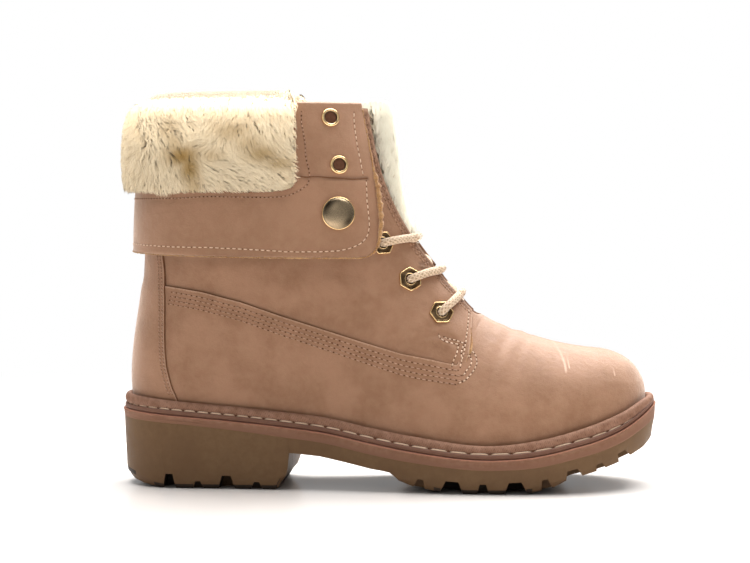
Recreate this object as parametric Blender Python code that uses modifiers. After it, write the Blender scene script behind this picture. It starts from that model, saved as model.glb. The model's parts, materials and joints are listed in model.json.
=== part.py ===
# Fold-down lace-up ankle boot for the right foot, women's EU 38, standing empty on its lugged sole.
# Sizes are millimetres in the boot's own frame: X from the back of the heel to the toe, Y across
# (negative is the outer, lateral side) and Z up from the floor. Meshes are placed in metres at the end,
# with the origin on the floor under the middle of the boot.
import math
from collections import namedtuple

import bmesh
import bpy
import numpy as np
from mathutils import Matrix, Vector
from mathutils.bvhtree import BVHTree

MM = 0.001
GAP = 0.3  # clearance between pieces that touch
WELD = 0.06  # points of one piece that lie nearer than this are the same point
LATERAL, MEDIAL = -1, 1

# ---- driving dimensions ----------------------------------------------------------------------

LENGTH = 278.0  # outsole, heel to toe
HEEL_ROUND, TOE_ROUND = 36.0, 72.0  # how far the round ends of the outline reach
HEEL_FULLNESS, TOE_FULLNESS = 2.15, 2.35  # 2 is an ellipse, more is squarer

ANKLE = 112.0  # height where the foot part of the last meets the shaft
SHAFT_TOP = 192.3  # top edge of the shaft, under the fold
FOOT_WALL, SHAFT_WALL = 3.0, 6.0  # the shaft's wall counts its fur lining
UPPER_MARGIN, HEEL_MARGIN = 7.0, 5.9  # from the sole's edge in to the upper's feather line
SEAT = 0.5  # clearance under the upper's lower edge

TONGUE_WALL = 3.0
TREAD_DEPTH = 4.2
CUFF_WALL = 2.6
CUFF_BOTTOM = 116.4
CUFF_CORNER = 13.0  # radius of the flap's lower front corner
CORD = 4.3  # lace diameter
LACE_LIFT = CORD / 2 + 2 * GAP  # height of a lace's middle over the leather it lies on

ORIGIN = np.array([LENGTH / 2, 0.0, 0.0])  # on the floor under the middle

# Linear colour, roughness and metallic of each material.
COLOURS = {
    "upper_leather": ((0.36, 0.20, 0.13), 0.6, 0.0),
    "sole_rubber": ((0.14, 0.08, 0.04), 0.6, 0.0),
    "midsole_rubber": ((0.22, 0.10, 0.06), 0.5, 0.0),
    "welt_rubber": ((0.26, 0.16, 0.11), 0.5, 0.0),
    "lining_fur": ((0.72, 0.62, 0.42), 0.9, 0.0),
    "gold_metal": ((0.75, 0.58, 0.36), 0.25, 1.0),
    "lace_cord": ((0.62, 0.50, 0.38), 0.8, 0.0),
}

# Plan outline of the outsole: half widths either side of a centre line that bends to the big toe.
Plan = namedtuple("Plan", "x lateral medial centre")
PLAN = [
    Plan(0, 34.0, 34.0, 0.0),
    Plan(36, 34.5, 34.0, 0.0),
    Plan(75, 36.0, 33.0, 0.0),
    Plan(115, 39.0, 32.5, 0.0),
    Plan(150, 44.0, 37.5, 0.0),
    Plan(190, 49.0, 45.0, 1.0),
    Plan(230, 48.5, 46.5, 3.5),
    Plan(278, 45.0, 43.0, 6.5),
]

# Side profile of the sole's layers, heel to toe: top of the welt bead, top and bottom of the midsole.
Layer = namedtuple("Layer", "x bead midsole outsole")
LAYERS = [
    Layer(0, 45.6, 37.6, 33.4),
    Layer(32, 42.6, 35.3, 31.4),
    Layer(86, 37.8, 30.4, 25.4),
    Layer(110, 35.0, 27.4, 22.2),
    Layer(132, 30.4, 22.8, 17.3),
    Layer(157, 26.0, 18.4, 13.2),
    Layer(195, 22.4, 15.4, 10.4),
    Layer(219, 25.4, 17.6, 12.2),
    Layer(235, 29.3, 21.2, 15.9),
    Layer(251, 34.4, 25.6, 20.4),
    Layer(262, 38.4, 29.6, 24.6),
    Layer(270, 41.4, 32.8, 28.0),
    Layer(278, 42.8, 36.2, 31.4),
]

# Underside of the outsole at the tips of its lugs, with the heel block and the arch.
Tread = namedtuple("Tread", "x z")
TREAD = [
    Tread(0, 5.2), Tread(5, 3.6), Tread(14, 1.4), Tread(24, 0.0), Tread(84, 0.0), Tread(86, 3.6),
    Tread(88.4, 5.2), Tread(89.8, 12.5), Tread(93, 16.6), Tread(106, 15.6), Tread(119, 12.9),
    Tread(132, 9.9), Tread(142, 8.4), Tread(146, 4.9), Tread(155, 3.0), Tread(167, 0.8),
    Tread(176, 0.0), Tread(206, 0.0), Tread(214, 0.9), Tread(223, 2.8), Tread(231, 5.0),
    Tread(247, 9.2), Tread(258, 13.4), Tread(271, 20.2), Tread(276, 25.6), Tread(278, 30.0),
]

# Notches cut up into the tread from each side, heel and forefoot.
Notch = namedtuple("Notch", "start end depth reach")
NOTCHES = [
    Notch(25.2, 31.2, 5.4, 15.0), Notch(41.2, 45.2, 1.8, 7.0), Notch(54.2, 61.8, 4.8, 15.0),
    Notch(71.4, 75.8, 1.8, 7.0), Notch(155.2, 159.8, 2.6, 8.0), Notch(168.6, 178.8, 4.2, 20.0),
    Notch(187.0, 192.0, 3.2, 9.0), Notch(200.8, 211.0, 4.2, 20.0), Notch(218.9, 223.6, 3.2, 9.0),
    Notch(231.2, 239.6, 4.2, 18.0), Notch(246.6, 251.4, 3.0, 9.0), Notch(257.8, 264.4, 4.0, 14.0),
]

# Horizontal sections of the shaft, ankle to fold. egg narrows the front, gap is half the throat opening.
Shaft = namedtuple("Shaft", "z back front half_width egg gap")
SHAFT = [
    Shaft(112, 10.4, 170.0, 34.5, 0.22, 11.0),
    Shaft(121, 10.9, 162.0, 34.4, 0.18, 11.3),
    Shaft(134, 11.5, 153.6, 34.8, 0.13, 12.6),
    Shaft(150, 12.0, 147.8, 36.0, 0.08, 16.0),
    Shaft(170, 12.6, 144.6, 37.4, 0.04, 20.0),
    Shaft(200, 13.2, 141.0, 38.6, 0.0, 23.0),
]

# The ridge of instep, vamp and toe, from the ankle section forward.
Ridge = namedtuple("Ridge", "x z")
RIDGE = [
    Ridge(170, 112.0), Ridge(176, 103.2), Ridge(181, 95.4), Ridge(186, 88.6), Ridge(193, 83.4),
    Ridge(204, 79.0), Ridge(221, 73.8), Ridge(234, 70.9), Ridge(246, 69.4),
]
THROAT_TAPER, THROAT_END = 178.0, 188.0  # where the throat opening starts to round off, and ends

# Lines of the last from the feather line up, heel centre to toe tip. foot is the share of the feather
# line's length, top runs 0 to 1 round the ankle section and 1 to 2 along the ridge. rise and lean are the
# line's first handle, up and outward. reach is its last handle, and turn its angle: 0 runs down the
# shaft, 90 out sideways, 180 forward over the toe.
Line = namedtuple("Line", "foot top rise lean reach turn")
LINES = [
    Line(0.000, 0.00, 20.0, 6.4, 20.0, 0),
    Line(0.105, 0.16, 21.0, 6.0, 22.0, 0),
    Line(0.225, 0.33, 24.0, 5.4, 25.0, 0),
    Line(0.325, 0.50, 27.0, 5.0, 28.0, 4),
    Line(0.415, 0.66, 30.0, 4.8, 28.0, 20),
    Line(0.490, 0.81, 33.0, 5.0, 24.0, 50),
    Line(0.545, 1.00, 35.0, 5.6, 17.0, 90),
    Line(0.615, 1.20, 31.0, 6.0, 20.0, 90),
    Line(0.685, 1.43, 27.0, 6.0, 25.0, 90),
    Line(0.760, 1.69, 25.0, 5.8, 25.0, 90),
    Line(0.840, 1.93, 22.0, 5.4, 22.0, 96),
    Line(0.915, 2.00, 20.5, 5.2, 20.0, 132),
    Line(1.000, 2.00, 20.0, 5.0, 21.0, 180),
]
TOE_SLOPE = -0.09  # fall of the ridge at its front end

# How a lace climbs from the tongue, 0, onto a facing, 1, by distance from the middle.
Climb = namedtuple("Climb", "y share")
CLIMB = [Climb(0.0, 0.0), Climb(5.0, 0.02), Climb(7.4, 0.3), Climb(9.2, 0.8), Climb(11.2, 1.0)]
LACE_CROSSING = 0.66  # how far, in diameters, one lace is lifted over the other
LACE_FROM_EYELET = 7.6  # from an eyelet's middle to past its rim
LACE_UNDER = 3.4  # how far short of the far facing a lace that dives under it ends

# Where the metal trim sits, seen from the side.
Spot = namedtuple("Spot", "x z turn")
HEX_EYELETS = [Spot(137.4, 124.7, 0), Spot(151.4, 105.4, 0), Spot(167.6, 88.4, 30)]
ROUND_EYELETS = [Spot(113.0, 187.0, 0), Spot(117.5, 164.5, 0)]
SNAP = Spot(116.4, 139.2, 0)


# ---- curves and surfaces ---------------------------------------------------------------------

def column(table, name):
    return np.array([getattr(row, name) for row in table], float)


def smooth(table, name, at):
    # A smooth curve through one column of a table, against the table's first column.
    return through(column(table, table[0]._fields[0]), column(table, name), at)


def straight(table, name, at):
    return np.interp(at, column(table, table[0]._fields[0]), column(table, name))


def through(xs, ys, at):
    slope = np.gradient(ys, xs)
    i = np.clip(np.searchsorted(xs, at) - 1, 0, len(xs) - 2)
    h = xs[i + 1] - xs[i]
    t = (at - xs[i]) / h
    start = (2 * t**3 - 3 * t**2 + 1) * ys[i] + (t**3 - 2 * t**2 + t) * h * slope[i]
    end = (3 * t**2 - 2 * t**3) * ys[i + 1] + (t**3 - t**2) * h * slope[i + 1]
    return start + end


def unit(v):
    return v / np.linalg.norm(v, axis=-1, keepdims=True)


def round_end(distance, reach, fullness):
    # 1 away from the end, falling to 0 at it along a superellipse.
    inside = np.clip(1 - distance / reach, 0, 1)
    return (1 - inside**fullness) ** (1 / fullness)


def even_steps(samples):
    # Lengthwise positions, closer together round the ends.
    return LENGTH / 2 * (1 - np.cos(np.linspace(0, math.pi, samples)))


def outline(side, inset, x):
    # One half of the sole's plan from heel centre to toe tip, moved in by inset.
    ends = round_end(x, HEEL_ROUND, HEEL_FULLNESS) * round_end(LENGTH - x, TOE_ROUND, TOE_FULLNESS)
    width = smooth(PLAN, "lateral" if side == LATERAL else "medial", x)
    points = np.stack([x, smooth(PLAN, "centre", x) + side * width * ends], axis=1)
    along = np.gradient(points, axis=0)
    along[0] = along[-1] = (0, side)
    along[-1] *= -1
    outward = unit(np.stack([-along[:, 1], along[:, 0]], axis=1) * side)
    return points - outward * np.broadcast_to(inset, x.shape)[:, None], outward


def margin(x):
    # The upper stands nearer to the sole's edge round the heel and at the tip of the toe.
    blend = np.clip(np.minimum(x / HEEL_ROUND, (LENGTH - x) / HEEL_ROUND), 0, 1)
    return HEEL_MARGIN + (UPPER_MARGIN - HEEL_MARGIN) * blend * blend * (3 - 2 * blend)


def edge(x, side):
    # Y of the sole's edge at x.
    points = outline(side, 0.0, even_steps(361))[0]
    return np.interp(x, points[:, 0], points[:, 1])


def feather(share, side):
    # Point and outward direction on the upper's feather line.
    steps = even_steps(241)
    points, outward = outline(side, margin(steps), steps)
    length = np.concatenate([[0], np.cumsum(np.linalg.norm(np.diff(points, axis=0), axis=1))])
    at = np.clip(share, 0, 1) * length[-1]
    x, y = (np.interp(at, length, points[:, k]) for k in (0, 1))
    out = [np.interp(at, length, outward[:, k]) for k in (0, 1)]
    return np.array([x, y, smooth(LAYERS, "midsole", x) + SEAT]), np.array([*out, 0.0])


def shaft(angle, z, side):
    # Point on the shaft's section at height z. angle is pi at the back and 0 at the front.
    back, front = smooth(SHAFT, "back", z), smooth(SHAFT, "front", z)
    width, egg = smooth(SHAFT, "half_width", z), smooth(SHAFT, "egg", z)
    x = (front + back) / 2 + (front - back) / 2 * math.cos(angle)
    return np.array([x, side * width * math.sin(angle) * (1 - egg * math.cos(angle)), z])


def angle_at_width(z, y):
    # Angle in front of the side where the section is y wide of its centre line.
    low, high = 0.0, math.pi / 2
    for _ in range(40):
        middle = (low + high) / 2
        low, high = (middle, high) if shaft(middle, z, MEDIAL)[1] < y else (low, middle)
    return low


def facing_angle(z):
    return angle_at_width(z, smooth(SHAFT, "gap", z))


def ridge(x):
    # Point of the top line: it bends to the big toe as the sole does.
    y = smooth(PLAN, "centre", x) - smooth(PLAN, "centre", RIDGE[0].x)
    return np.array([x, y, smooth(RIDGE, "z", x)])


def throat_half_gap(x):
    return SHAFT[0].gap * round_end(THROAT_END - x, THROAT_END - THROAT_TAPER, 2.4)


def last_line(c, side):
    # The four control points of the last's line number c, which may lie between two rows.
    numbers = np.arange(len(LINES), dtype=float)
    foot, top, rise, lean, reach, turn = (through(numbers, column(LINES, n), c) for n in Line._fields)
    start, out = feather(foot, side)
    turn = math.radians(np.clip(turn, 0, 180))
    if top < 1:
        angle = math.pi * (1 - max(top, 0.0))
        end = shaft(angle, ANKLE, side)
        up = unit(shaft(angle, ANKLE + 1, side) - end)
        sideways = unit(shaft(angle + 0.01, ANKLE, side) - end)
        if angle > math.pi - 0.011:
            sideways = np.array([1.0, 0, 0])
        handle = sideways * math.sin(turn) - up * math.cos(turn)
    else:
        end = ridge(RIDGE[0].x + (RIDGE[-1].x - RIDGE[0].x) * min(top - 1, 1.0))
        forward = np.array([1.0, 0.04, TOE_SLOPE])
        handle = np.array([0, side, 0]) * math.sin(turn) - forward * math.cos(turn)
    return start, start + out * lean + np.array([0, 0, rise]), end + handle * reach, end


def on_line(line, t):
    a, b, c, d = line
    return (1 - t) ** 3 * a + 3 * t * (1 - t) ** 2 * b + 3 * t**2 * (1 - t) * c + t**3 * d


def offset(grid, distance):
    # A grid of points moved along its own normals; columns run round the boot, rows run up.
    across = np.gradient(grid, axis=1)
    up = np.gradient(grid, axis=0)
    normals = unit(np.cross(up, across))
    return grid + normals * np.asarray(distance)[..., None]


# ---- meshes ----------------------------------------------------------------------------------

def place(points):
    # From the boot's own frame in millimetres to metres, with the origin under its middle.
    return (np.asarray(points, float) - ORIGIN) * MM


def add_object(name, bm, material, collection="ankle_boot"):
    mesh = bpy.data.meshes.new(name)
    bm.to_mesh(mesh)
    bm.free()
    piece = bpy.data.objects.new(name, mesh)
    bpy.data.collections[collection].objects.link(piece)
    if material:
        mesh.materials.append(bpy.data.materials[material])
    mesh.shade_smooth()
    mesh.set_sharp_from_angle(angle=math.radians(40))
    return piece


def grid_faces(bm, grid, flip=False):
    # Quads over a grid of points. The rows of vertices go back to the caller, which closes the borders.
    rows = [[bm.verts.new(point) for point in row] for row in place(grid)]
    for low, high in zip(rows, rows[1:]):
        for a, b, c, d in zip(low, low[1:], high[1:], high):
            bm.faces.new((a, d, c, b) if flip else (a, b, c, d))
    return rows


def weld(bm):
    # Joins neighbouring grids: where they meet, their points differ by less than WELD.
    bmesh.ops.remove_doubles(bm, verts=bm.verts, dist=WELD * MM)


def closed_shell(name, outer, inner, material):
    # A sheet with thickness between two matching grids.
    bm = bmesh.new()
    out_rows, in_rows = grid_faces(bm, outer, flip=True), grid_faces(bm, inner)
    for borders in ((out_rows[0], in_rows[0]), (in_rows[-1], out_rows[-1])):
        for a, b, c, d in zip(borders[0], borders[0][1:], borders[1][1:], borders[1]):
            bm.faces.new((a, b, c, d))
    out_sides, in_sides = list(zip(*out_rows)), list(zip(*in_rows))
    for borders in ((in_sides[0], out_sides[0]), (out_sides[-1], in_sides[-1])):
        for a, b, c, d in zip(borders[0], borders[0][1:], borders[1][1:], borders[1]):
            bm.faces.new((a, b, c, d))
    bmesh.ops.recalc_face_normals(bm, faces=bm.faces)
    return add_object(name, bm, material)


def ring_points(inset, height, x):
    # A closed loop round the sole's plan at a height that depends on the lengthwise position.
    lateral, medial = (outline(side, inset, x)[0] for side in (LATERAL, MEDIAL))
    loop = np.concatenate([lateral, medial[-2:0:-1]])
    return np.column_stack([loop, height(loop[:, 0])])


def join_loops(bm, low, high):
    for i in range(len(low)):
        j = (i + 1) % len(low)
        bm.faces.new((low[i], low[j], high[j], high[i]))


def plate(name, rings, material):
    # A solid between stacked loops round the sole, closed by strips from side to side.
    bm = bmesh.new()
    loops = [[bm.verts.new(point) for point in place(ring)] for ring in rings]
    for low, high in zip(loops, loops[1:]):
        join_loops(bm, low, high)
    for loop in (loops[0], loops[-1]):
        half = len(loop) // 2
        for i in range(half):
            corners = [loop[i], loop[i + 1], loop[-i - 1], loop[-i % len(loop)]]
            bm.faces.new(list(dict.fromkeys(corners)))
    bmesh.ops.recalc_face_normals(bm, faces=bm.faces)
    return add_object(name, bm, material)


def hoop(name, rings, material):
    # A closed band round the sole: a profile of loops joined back to the first.
    bm = bmesh.new()
    loops = [[bm.verts.new(point) for point in place(ring)] for ring in rings]
    for low, high in zip(loops, loops[1:] + loops[:1]):
        join_loops(bm, low, high)
    bmesh.ops.recalc_face_normals(bm, faces=bm.faces)
    return add_object(name, bm, material)


def cut(piece, cutter):
    modifier = piece.modifiers.new(cutter.name, "BOOLEAN")
    modifier.operation = "DIFFERENCE"
    modifier.object = cutter
    cutter.hide_render = True
    cutter.display_type = "WIRE"


# ---- sole ------------------------------------------------------------------------------------

def height_of(table, name, lift=0.0, curve=smooth):
    return lambda x: curve(table, name, x) + lift


def tread_block(bm, x_range, y_range, depth, taper=0.8, root=0.0):
    # One tapered block that cuts up into the tread, tilted with the tread's own slope.
    middle, length = sum(x_range) / 2, x_range[1] - x_range[0]
    heights = straight(TREAD, "z", np.array([x_range[0], middle, x_range[1]]))
    slope = math.atan2(heights[2] - heights[0], length)
    below = 6.0
    box = bmesh.ops.create_cube(bm, size=1.0)["verts"]
    for corner in box:
        if corner.co.z > 0:
            corner.co.x *= taper
    bmesh.ops.scale(bm, verts=box, vec=(length, y_range[1] - y_range[0], depth + below))
    bmesh.ops.translate(bm, verts=box, vec=(0, 0, (depth - below) / 2 + root))
    bmesh.ops.rotate(bm, verts=box, matrix=Matrix.Rotation(-slope, 3, "Y"), cent=(0, 0, 0))
    bmesh.ops.translate(bm, verts=box, vec=(middle, sum(y_range) / 2, heights[1]))


def finish_cutter(name, bm):
    for corner in bm.verts:
        corner.co = Vector(place(corner.co))
    return add_object(name, bm, None, collection="cutters")


def side_notches():
    bm = bmesh.new()
    for notch in NOTCHES:
        for side in (LATERAL, MEDIAL):
            rim = edge((notch.start + notch.end) / 2, side)
            y_range = sorted((rim + side * 8.0, rim - side * notch.reach))
            tread_block(bm, (notch.start, notch.end), y_range, notch.depth)
    return finish_cutter("side_notches", bm)


def cross_grooves():
    # Short grooves across the middle that leave a row of bars.
    bm = bmesh.new()
    heel = np.arange(34.0, 80.0, 15.0)
    forefoot = np.arange(164.0, 250.0, 16.0)
    for x in (*heel, *forefoot):
        centre = (edge(x, LATERAL) + edge(x, MEDIAL)) / 2
        tread_block(bm, (x, x + 4.5), (centre - 12.5, centre + 12.5), TREAD_DEPTH - 0.8)
    return finish_cutter("cross_grooves", bm)


def outsole():
    steps = np.unique(np.concatenate([even_steps(41), column(TREAD, "x")]))
    tread, top = height_of(TREAD, "z", curve=straight), height_of(LAYERS, "outsole")
    rings = [
        ring_points(2.2, tread, steps),
        ring_points(1.1, lambda x: np.minimum(tread(x) + 3.0, top(x) - 1.5), steps),
        ring_points(0.5, top, steps),
    ]
    piece = plate("outsole", rings, "sole_rubber")
    cut(piece, side_notches())
    cut(piece, cross_grooves())
    return piece


def midsole():
    steps = even_steps(41)
    rings = [
        ring_points(0.3, height_of(LAYERS, "outsole", GAP), steps),
        ring_points(0.0, lambda x: (smooth(LAYERS, "outsole", x) + smooth(LAYERS, "midsole", x)) / 2, steps),
        ring_points(0.4, height_of(LAYERS, "midsole"), steps),
    ]
    return plate("midsole", rings, "midsole_rubber")


def welt():
    # A flat ledge for the stitches, and a bead that lies against the upper.
    steps = even_steps(35)
    bead, ledge = 1.8, 3.0
    inner = margin(steps) - 1.6
    flat = [(inner, GAP), (1.0, GAP), (0.9, ledge - 0.4), (1.2, ledge)]
    rings = [ring_points(inset, height_of(LAYERS, "midsole", lift), steps) for inset, lift in flat]
    for angle in np.radians(np.linspace(215, 0, 6)):
        inset = inner - bead + bead * math.cos(angle)
        lift = bead * (math.sin(angle) - 1)
        rings.append(ring_points(inset, height_of(LAYERS, "bead", lift), steps))
    return hoop("welt", rings, "welt_rubber")


def insole():
    steps = even_steps(25)
    inset = margin(steps) + FOOT_WALL + 0.9
    thickness = 3.0
    rings = [ring_points(inset, height_of(LAYERS, "midsole", lift), steps) for lift in (GAP, GAP + thickness)]
    return plate("insole", rings, "lining_fur")


# ---- upper -----------------------------------------------------------------------------------

def line_number(wanted, name="top"):
    # The line of the last, between rows, where a column first reaches a value.
    numbers = np.linspace(0, 10.9, 1091)
    values = through(np.arange(len(LINES), dtype=float), column(LINES, name), numbers)
    return float(numbers[np.argmax(values >= wanted)])


def opening_end(line):
    # How far up a line of the last the upper reaches: all the way, or to the throat's edge.
    for t in np.linspace(1, 0.3, 281):
        x, y, _ = on_line(line, t)
        if abs(y - ridge(x)[1] if x > RIDGE[0].x else y) >= throat_half_gap(min(x, THROAT_END)):
            return t
    return 0.3


def wall_at(z):
    blend = np.clip((z - 96.0) / 40.0, 0, 1)
    return FOOT_WALL + (SHAFT_WALL - FOOT_WALL) * blend * blend * (3 - 2 * blend)


def foot_grid(side, numbers, rows, throat=True):
    lines = [last_line(c, side) for c in numbers]
    ends = [opening_end(line) if throat and c > 3 else 1.0 for c, line in zip(numbers, lines)]
    shares = np.linspace(0, 1, rows)
    return np.array([[on_line(line, t * end) for line, end in zip(lines, ends)] for t in shares])


def shaft_grid(side, numbers, heights, throat=True):
    tops = through(np.arange(len(LINES), dtype=float), column(LINES, "top"), np.array(numbers))
    turned = math.pi * np.clip(tops, 0, 1)
    grid = []
    for z in heights:
        share = (math.pi - facing_angle(z)) / turned[-1] if throat else 1.0
        grid.append([shaft(math.pi - t * share, z, side) for t in turned])
    return np.array(grid)


def upper():
    # Quarters, vamp and shaft as one wall, open at the throat, the collar and underneath.
    facing = line_number(1 - facing_angle(ANKLE) / math.pi)
    throat_end = line_number(1 + (THROAT_END - RIDGE[0].x) / (RIDGE[-1].x - RIDGE[0].x))
    back = list(np.linspace(0, facing, 15))
    throat = list(facing + (throat_end - facing) * np.array([0.2, 0.4, 0.6, 0.75, 0.87, 0.95, 1.0]))
    front = list(np.linspace(throat_end, 10.4, 8)[1:]) + list(np.linspace(10.4, 12, 6)[1:])
    heights = [ANKLE, 121, 134, 150, 170, SHAFT_TOP]
    bm = bmesh.new()
    for side in (LATERAL, MEDIAL):
        grid_faces(bm, foot_grid(side, back + throat + front, 10), flip=side == MEDIAL)
        grid_faces(bm, shaft_grid(side, back, heights), flip=side == MEDIAL)
    weld(bm)
    bmesh.ops.dissolve_degenerate(bm, edges=bm.edges, dist=0.01 * MM)
    piece = add_object("upper", bm, "upper_leather")
    group = piece.vertex_groups.new(name="wall")
    for vertex in piece.data.vertices:
        height = vertex.co.z / MM + ORIGIN[2]
        group.add([vertex.index], float(wall_at(height) / SHAFT_WALL), "REPLACE")
    wall = piece.modifiers.new("wall", "SOLIDIFY")
    wall.thickness = SHAFT_WALL * MM
    wall.offset = -1
    wall.vertex_group = group.name
    return piece


def last_form():
    # The whole last without openings, to find points on: meshes of both sides in one search tree.
    corners, faces = [], []
    for side in (LATERAL, MEDIAL):
        foot = foot_grid(side, np.linspace(0, 12, 97), 33, throat=False)
        leg = shaft_grid(side, np.linspace(0, 6, 49), np.linspace(ANKLE, SHAFT_TOP + 10, 33), throat=False)
        for grid in (foot, leg):
            start, (rows, columns) = len(corners), grid.shape[:2]
            corners.extend(Vector(point) for point in grid.reshape(-1, 3))
            for r in range(rows - 1):
                for k in range(columns - 1):
                    a = start + r * columns + k
                    face = (a, a + 1, a + columns + 1, a + columns)
                    faces.append(face if side == LATERAL else face[::-1])
    return BVHTree.FromPolygons(corners, faces)


def touch(tree, start, direction):
    # First point and outward normal that a ray from start meets.
    point, normal, _, _ = tree.ray_cast(Vector(start), Vector(direction))
    normal = np.array(normal)
    return np.array(point), -normal if normal @ np.array(direction) > 0 else normal


# ---- tongue ----------------------------------------------------------------------------------

# Stations of the tongue up the front of the foot and shaft: its middle line on the last, its half width,
# and how far the laces press it in.
Station = namedtuple("Station", "x z half_width sink")
TONGUE = [
    Station(200, 80.4, 13.0, 0.0), Station(191, 84.6, 15.0, 0.0), Station(185, 90.0, 17.0, 0.5),
    Station(178, 100.0, 18.0, 1.4), Station(170.5, 111.5, 18.5, 2.2), Station(162, 121.0, 19.0, 1.6),
    Station(153.6, 134.0, 20.5, 0.0), Station(147.8, 150.0, 24.0, 0.0), Station(144.6, 168.0, 22.0, 0.0),
    Station(141.5, 193.0, 17.5, 0.0),
]
# Depth of the fur on the part of the tongue that folds forward, from its lower edge to the top.
Pile = namedtuple("Pile", "z depth half_width")
TONGUE_PILE = [
    Pile(129, 0.8, 8.0), Pile(135, 2.6, 9.6), Pile(146, 4.6, 12.0), Pile(160, 6.0, 15.0),
    Pile(175, 6.4, 16.6), Pile(193, 6.0, 16.6),
]


def front_frame(at):
    # Middle line of the last at a tongue station: a point and the direction out of the instep.
    numbers = np.arange(len(TONGUE), dtype=float)
    x, z = (through(numbers, column(TONGUE, n), at) for n in ("x", "z"))
    slope = [np.interp(at, numbers, np.gradient(column(TONGUE, n))) for n in ("x", "z")]
    along = unit(np.array(slope))
    return np.array([x, 0, z]), np.array([along[1], 0, -along[0]])


def on_front(tree, at, y):
    # Point and outward normal of the last at a tongue station, y from the middle.
    middle, outward = front_frame(at)
    return touch(tree, middle + outward * 40 + (0, y, 0), -outward)


def tongue_depth(at, y):
    # How far the tongue's outer face lies inside the last: the facings' wall, a gap, and the dent.
    sink = through(np.arange(len(TONGUE), dtype=float), column(TONGUE, "sink"), at)
    return wall_at(front_frame(at)[0][2]) + 1.0 + sink * max(0.0, 1 - (y / SHAFT[0].gap) ** 2)


def tongue_surface(tree, stations, widths):
    # Outer face of the tongue.
    grid = []
    for at, half_width in zip(stations, widths):
        row = []
        for y in np.linspace(1, -1, 9) * half_width:
            point, normal = on_front(tree, at, y)
            row.append(point - normal * tongue_depth(at, y))
        grid.append(row)
    return np.array(grid)


def tongue(tree):
    stations = np.linspace(0, len(TONGUE) - 1, 15)
    widths = through(np.arange(len(TONGUE), dtype=float), column(TONGUE, "half_width"), stations)
    outer = tongue_surface(tree, stations, widths)
    return closed_shell("tongue", outer, offset(outer, -TONGUE_WALL), "upper_leather")


def tongue_fur(tree):
    # The tongue's lining, which folds over its top and hangs outside with the pile showing.
    heights = np.linspace(TONGUE_PILE[0].z, TONGUE_PILE[-1].z, 8)
    stations = np.interp(heights, column(TONGUE, "z"), np.arange(len(TONGUE)))
    base = tongue_surface(tree, stations, smooth(TONGUE_PILE, "half_width", heights))
    depth = smooth(TONGUE_PILE, "depth", heights)[:, None] * edge_fade(9, 0.35)
    clear = 2 * GAP  # the fur's facets are coarser than the tongue's
    front, back = offset(base, clear), offset(base, -TONGUE_WALL - clear)
    lift, cap = np.array([0, 0, GAP]), np.array([0, 0, 5.0])
    inner = [*front, front[-1] + lift, back[-1] + lift, back[-2]]
    pile, lining = offset(base, clear + depth), offset(base, -TONGUE_WALL - clear - 2.2)
    outer = [*pile, (pile[-1] + front[-1]) / 2 + cap, back[-1] + cap, lining[-2]]
    return closed_shell("tongue_fur", np.array(outer), np.array(inner), "lining_fur")


def edge_fade(count, low):
    # 1 across the middle, falling to low at both ends.
    across = np.abs(np.linspace(-1, 1, count))
    return 1 - (1 - low) * across**4


# ---- fold-down cuff --------------------------------------------------------------------------

# The flap hangs straight down from the fold, so its lower edge is wider and squarer than the ankle.
FLAP_BACK, FLAP_FRONT, FLAP_HALF_WIDTH, FLAP_SQUARENESS = 7.0, 154.0, 43.2, 2.5
FLAP_EDGE = 134.6  # how far forward the flap's front edge reaches
FUR_END = 0.735  # share of the way from the back to the front edge that the fur panel covers
FUR_START = 150.0  # height of the seam between band and fur
FUR_BACK = 0.56  # share of the fur's depth over the fold at the back

# Fur depth from the seam up over the fold and down inside.
FurDepth = namedtuple("FurDepth", "z depth")
FUR_OUTSIDE = [
    FurDepth(FUR_START, 3.2), FurDepth(155, 5.6), FurDepth(163, 7.2), FurDepth(175, 8.4), FurDepth(186, 8.6),
]
FUR_OVER = (8.2, 7.0, 6.0, 4.6)
FUR_INSIDE = 3.6


def flap_edge(share):
    # Plan of the flap's lower edge, share 0 at the back and 1 at the front edge, as half of a squared oval.
    middle, reach = (FLAP_FRONT + FLAP_BACK) / 2, (FLAP_FRONT - FLAP_BACK) / 2
    power = 2 / FLAP_SQUARENESS
    last = math.acos(((FLAP_EDGE - middle) / reach) ** (1 / power))
    angle = math.pi + (last - math.pi) * share
    x = middle + reach * math.copysign(abs(math.cos(angle)) ** power, math.cos(angle))
    return np.array([x, FLAP_HALF_WIDTH * math.sin(angle) ** power])


def flap_bottom(share):
    # Height of the lower edge: a little higher at the back, rounded up at the front corner.
    half_length = 175.0
    from_corner = min((1 - share) * half_length, CUFF_CORNER)
    rounding = CUFF_CORNER - math.sqrt(CUFF_CORNER**2 - (CUFF_CORNER - from_corner) ** 2)
    return CUFF_BOTTOM + 3.0 * (1 - share) ** 2 + rounding


def beside_shaft(angle, z, side, distance):
    # A point at a level distance outside the shaft, or inside where distance is negative.
    here = shaft(angle, z, side)
    along = shaft(angle + 0.01, z, side) - shaft(angle - 0.01, z, side)
    outward = unit(np.array([along[1], -along[0], 0.0])) * side
    outward = outward if outward[1] * side >= 0 else -outward
    if angle > math.pi - 0.02:
        outward = np.array([-1.0, 0, 0])
    return here + outward * distance


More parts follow.
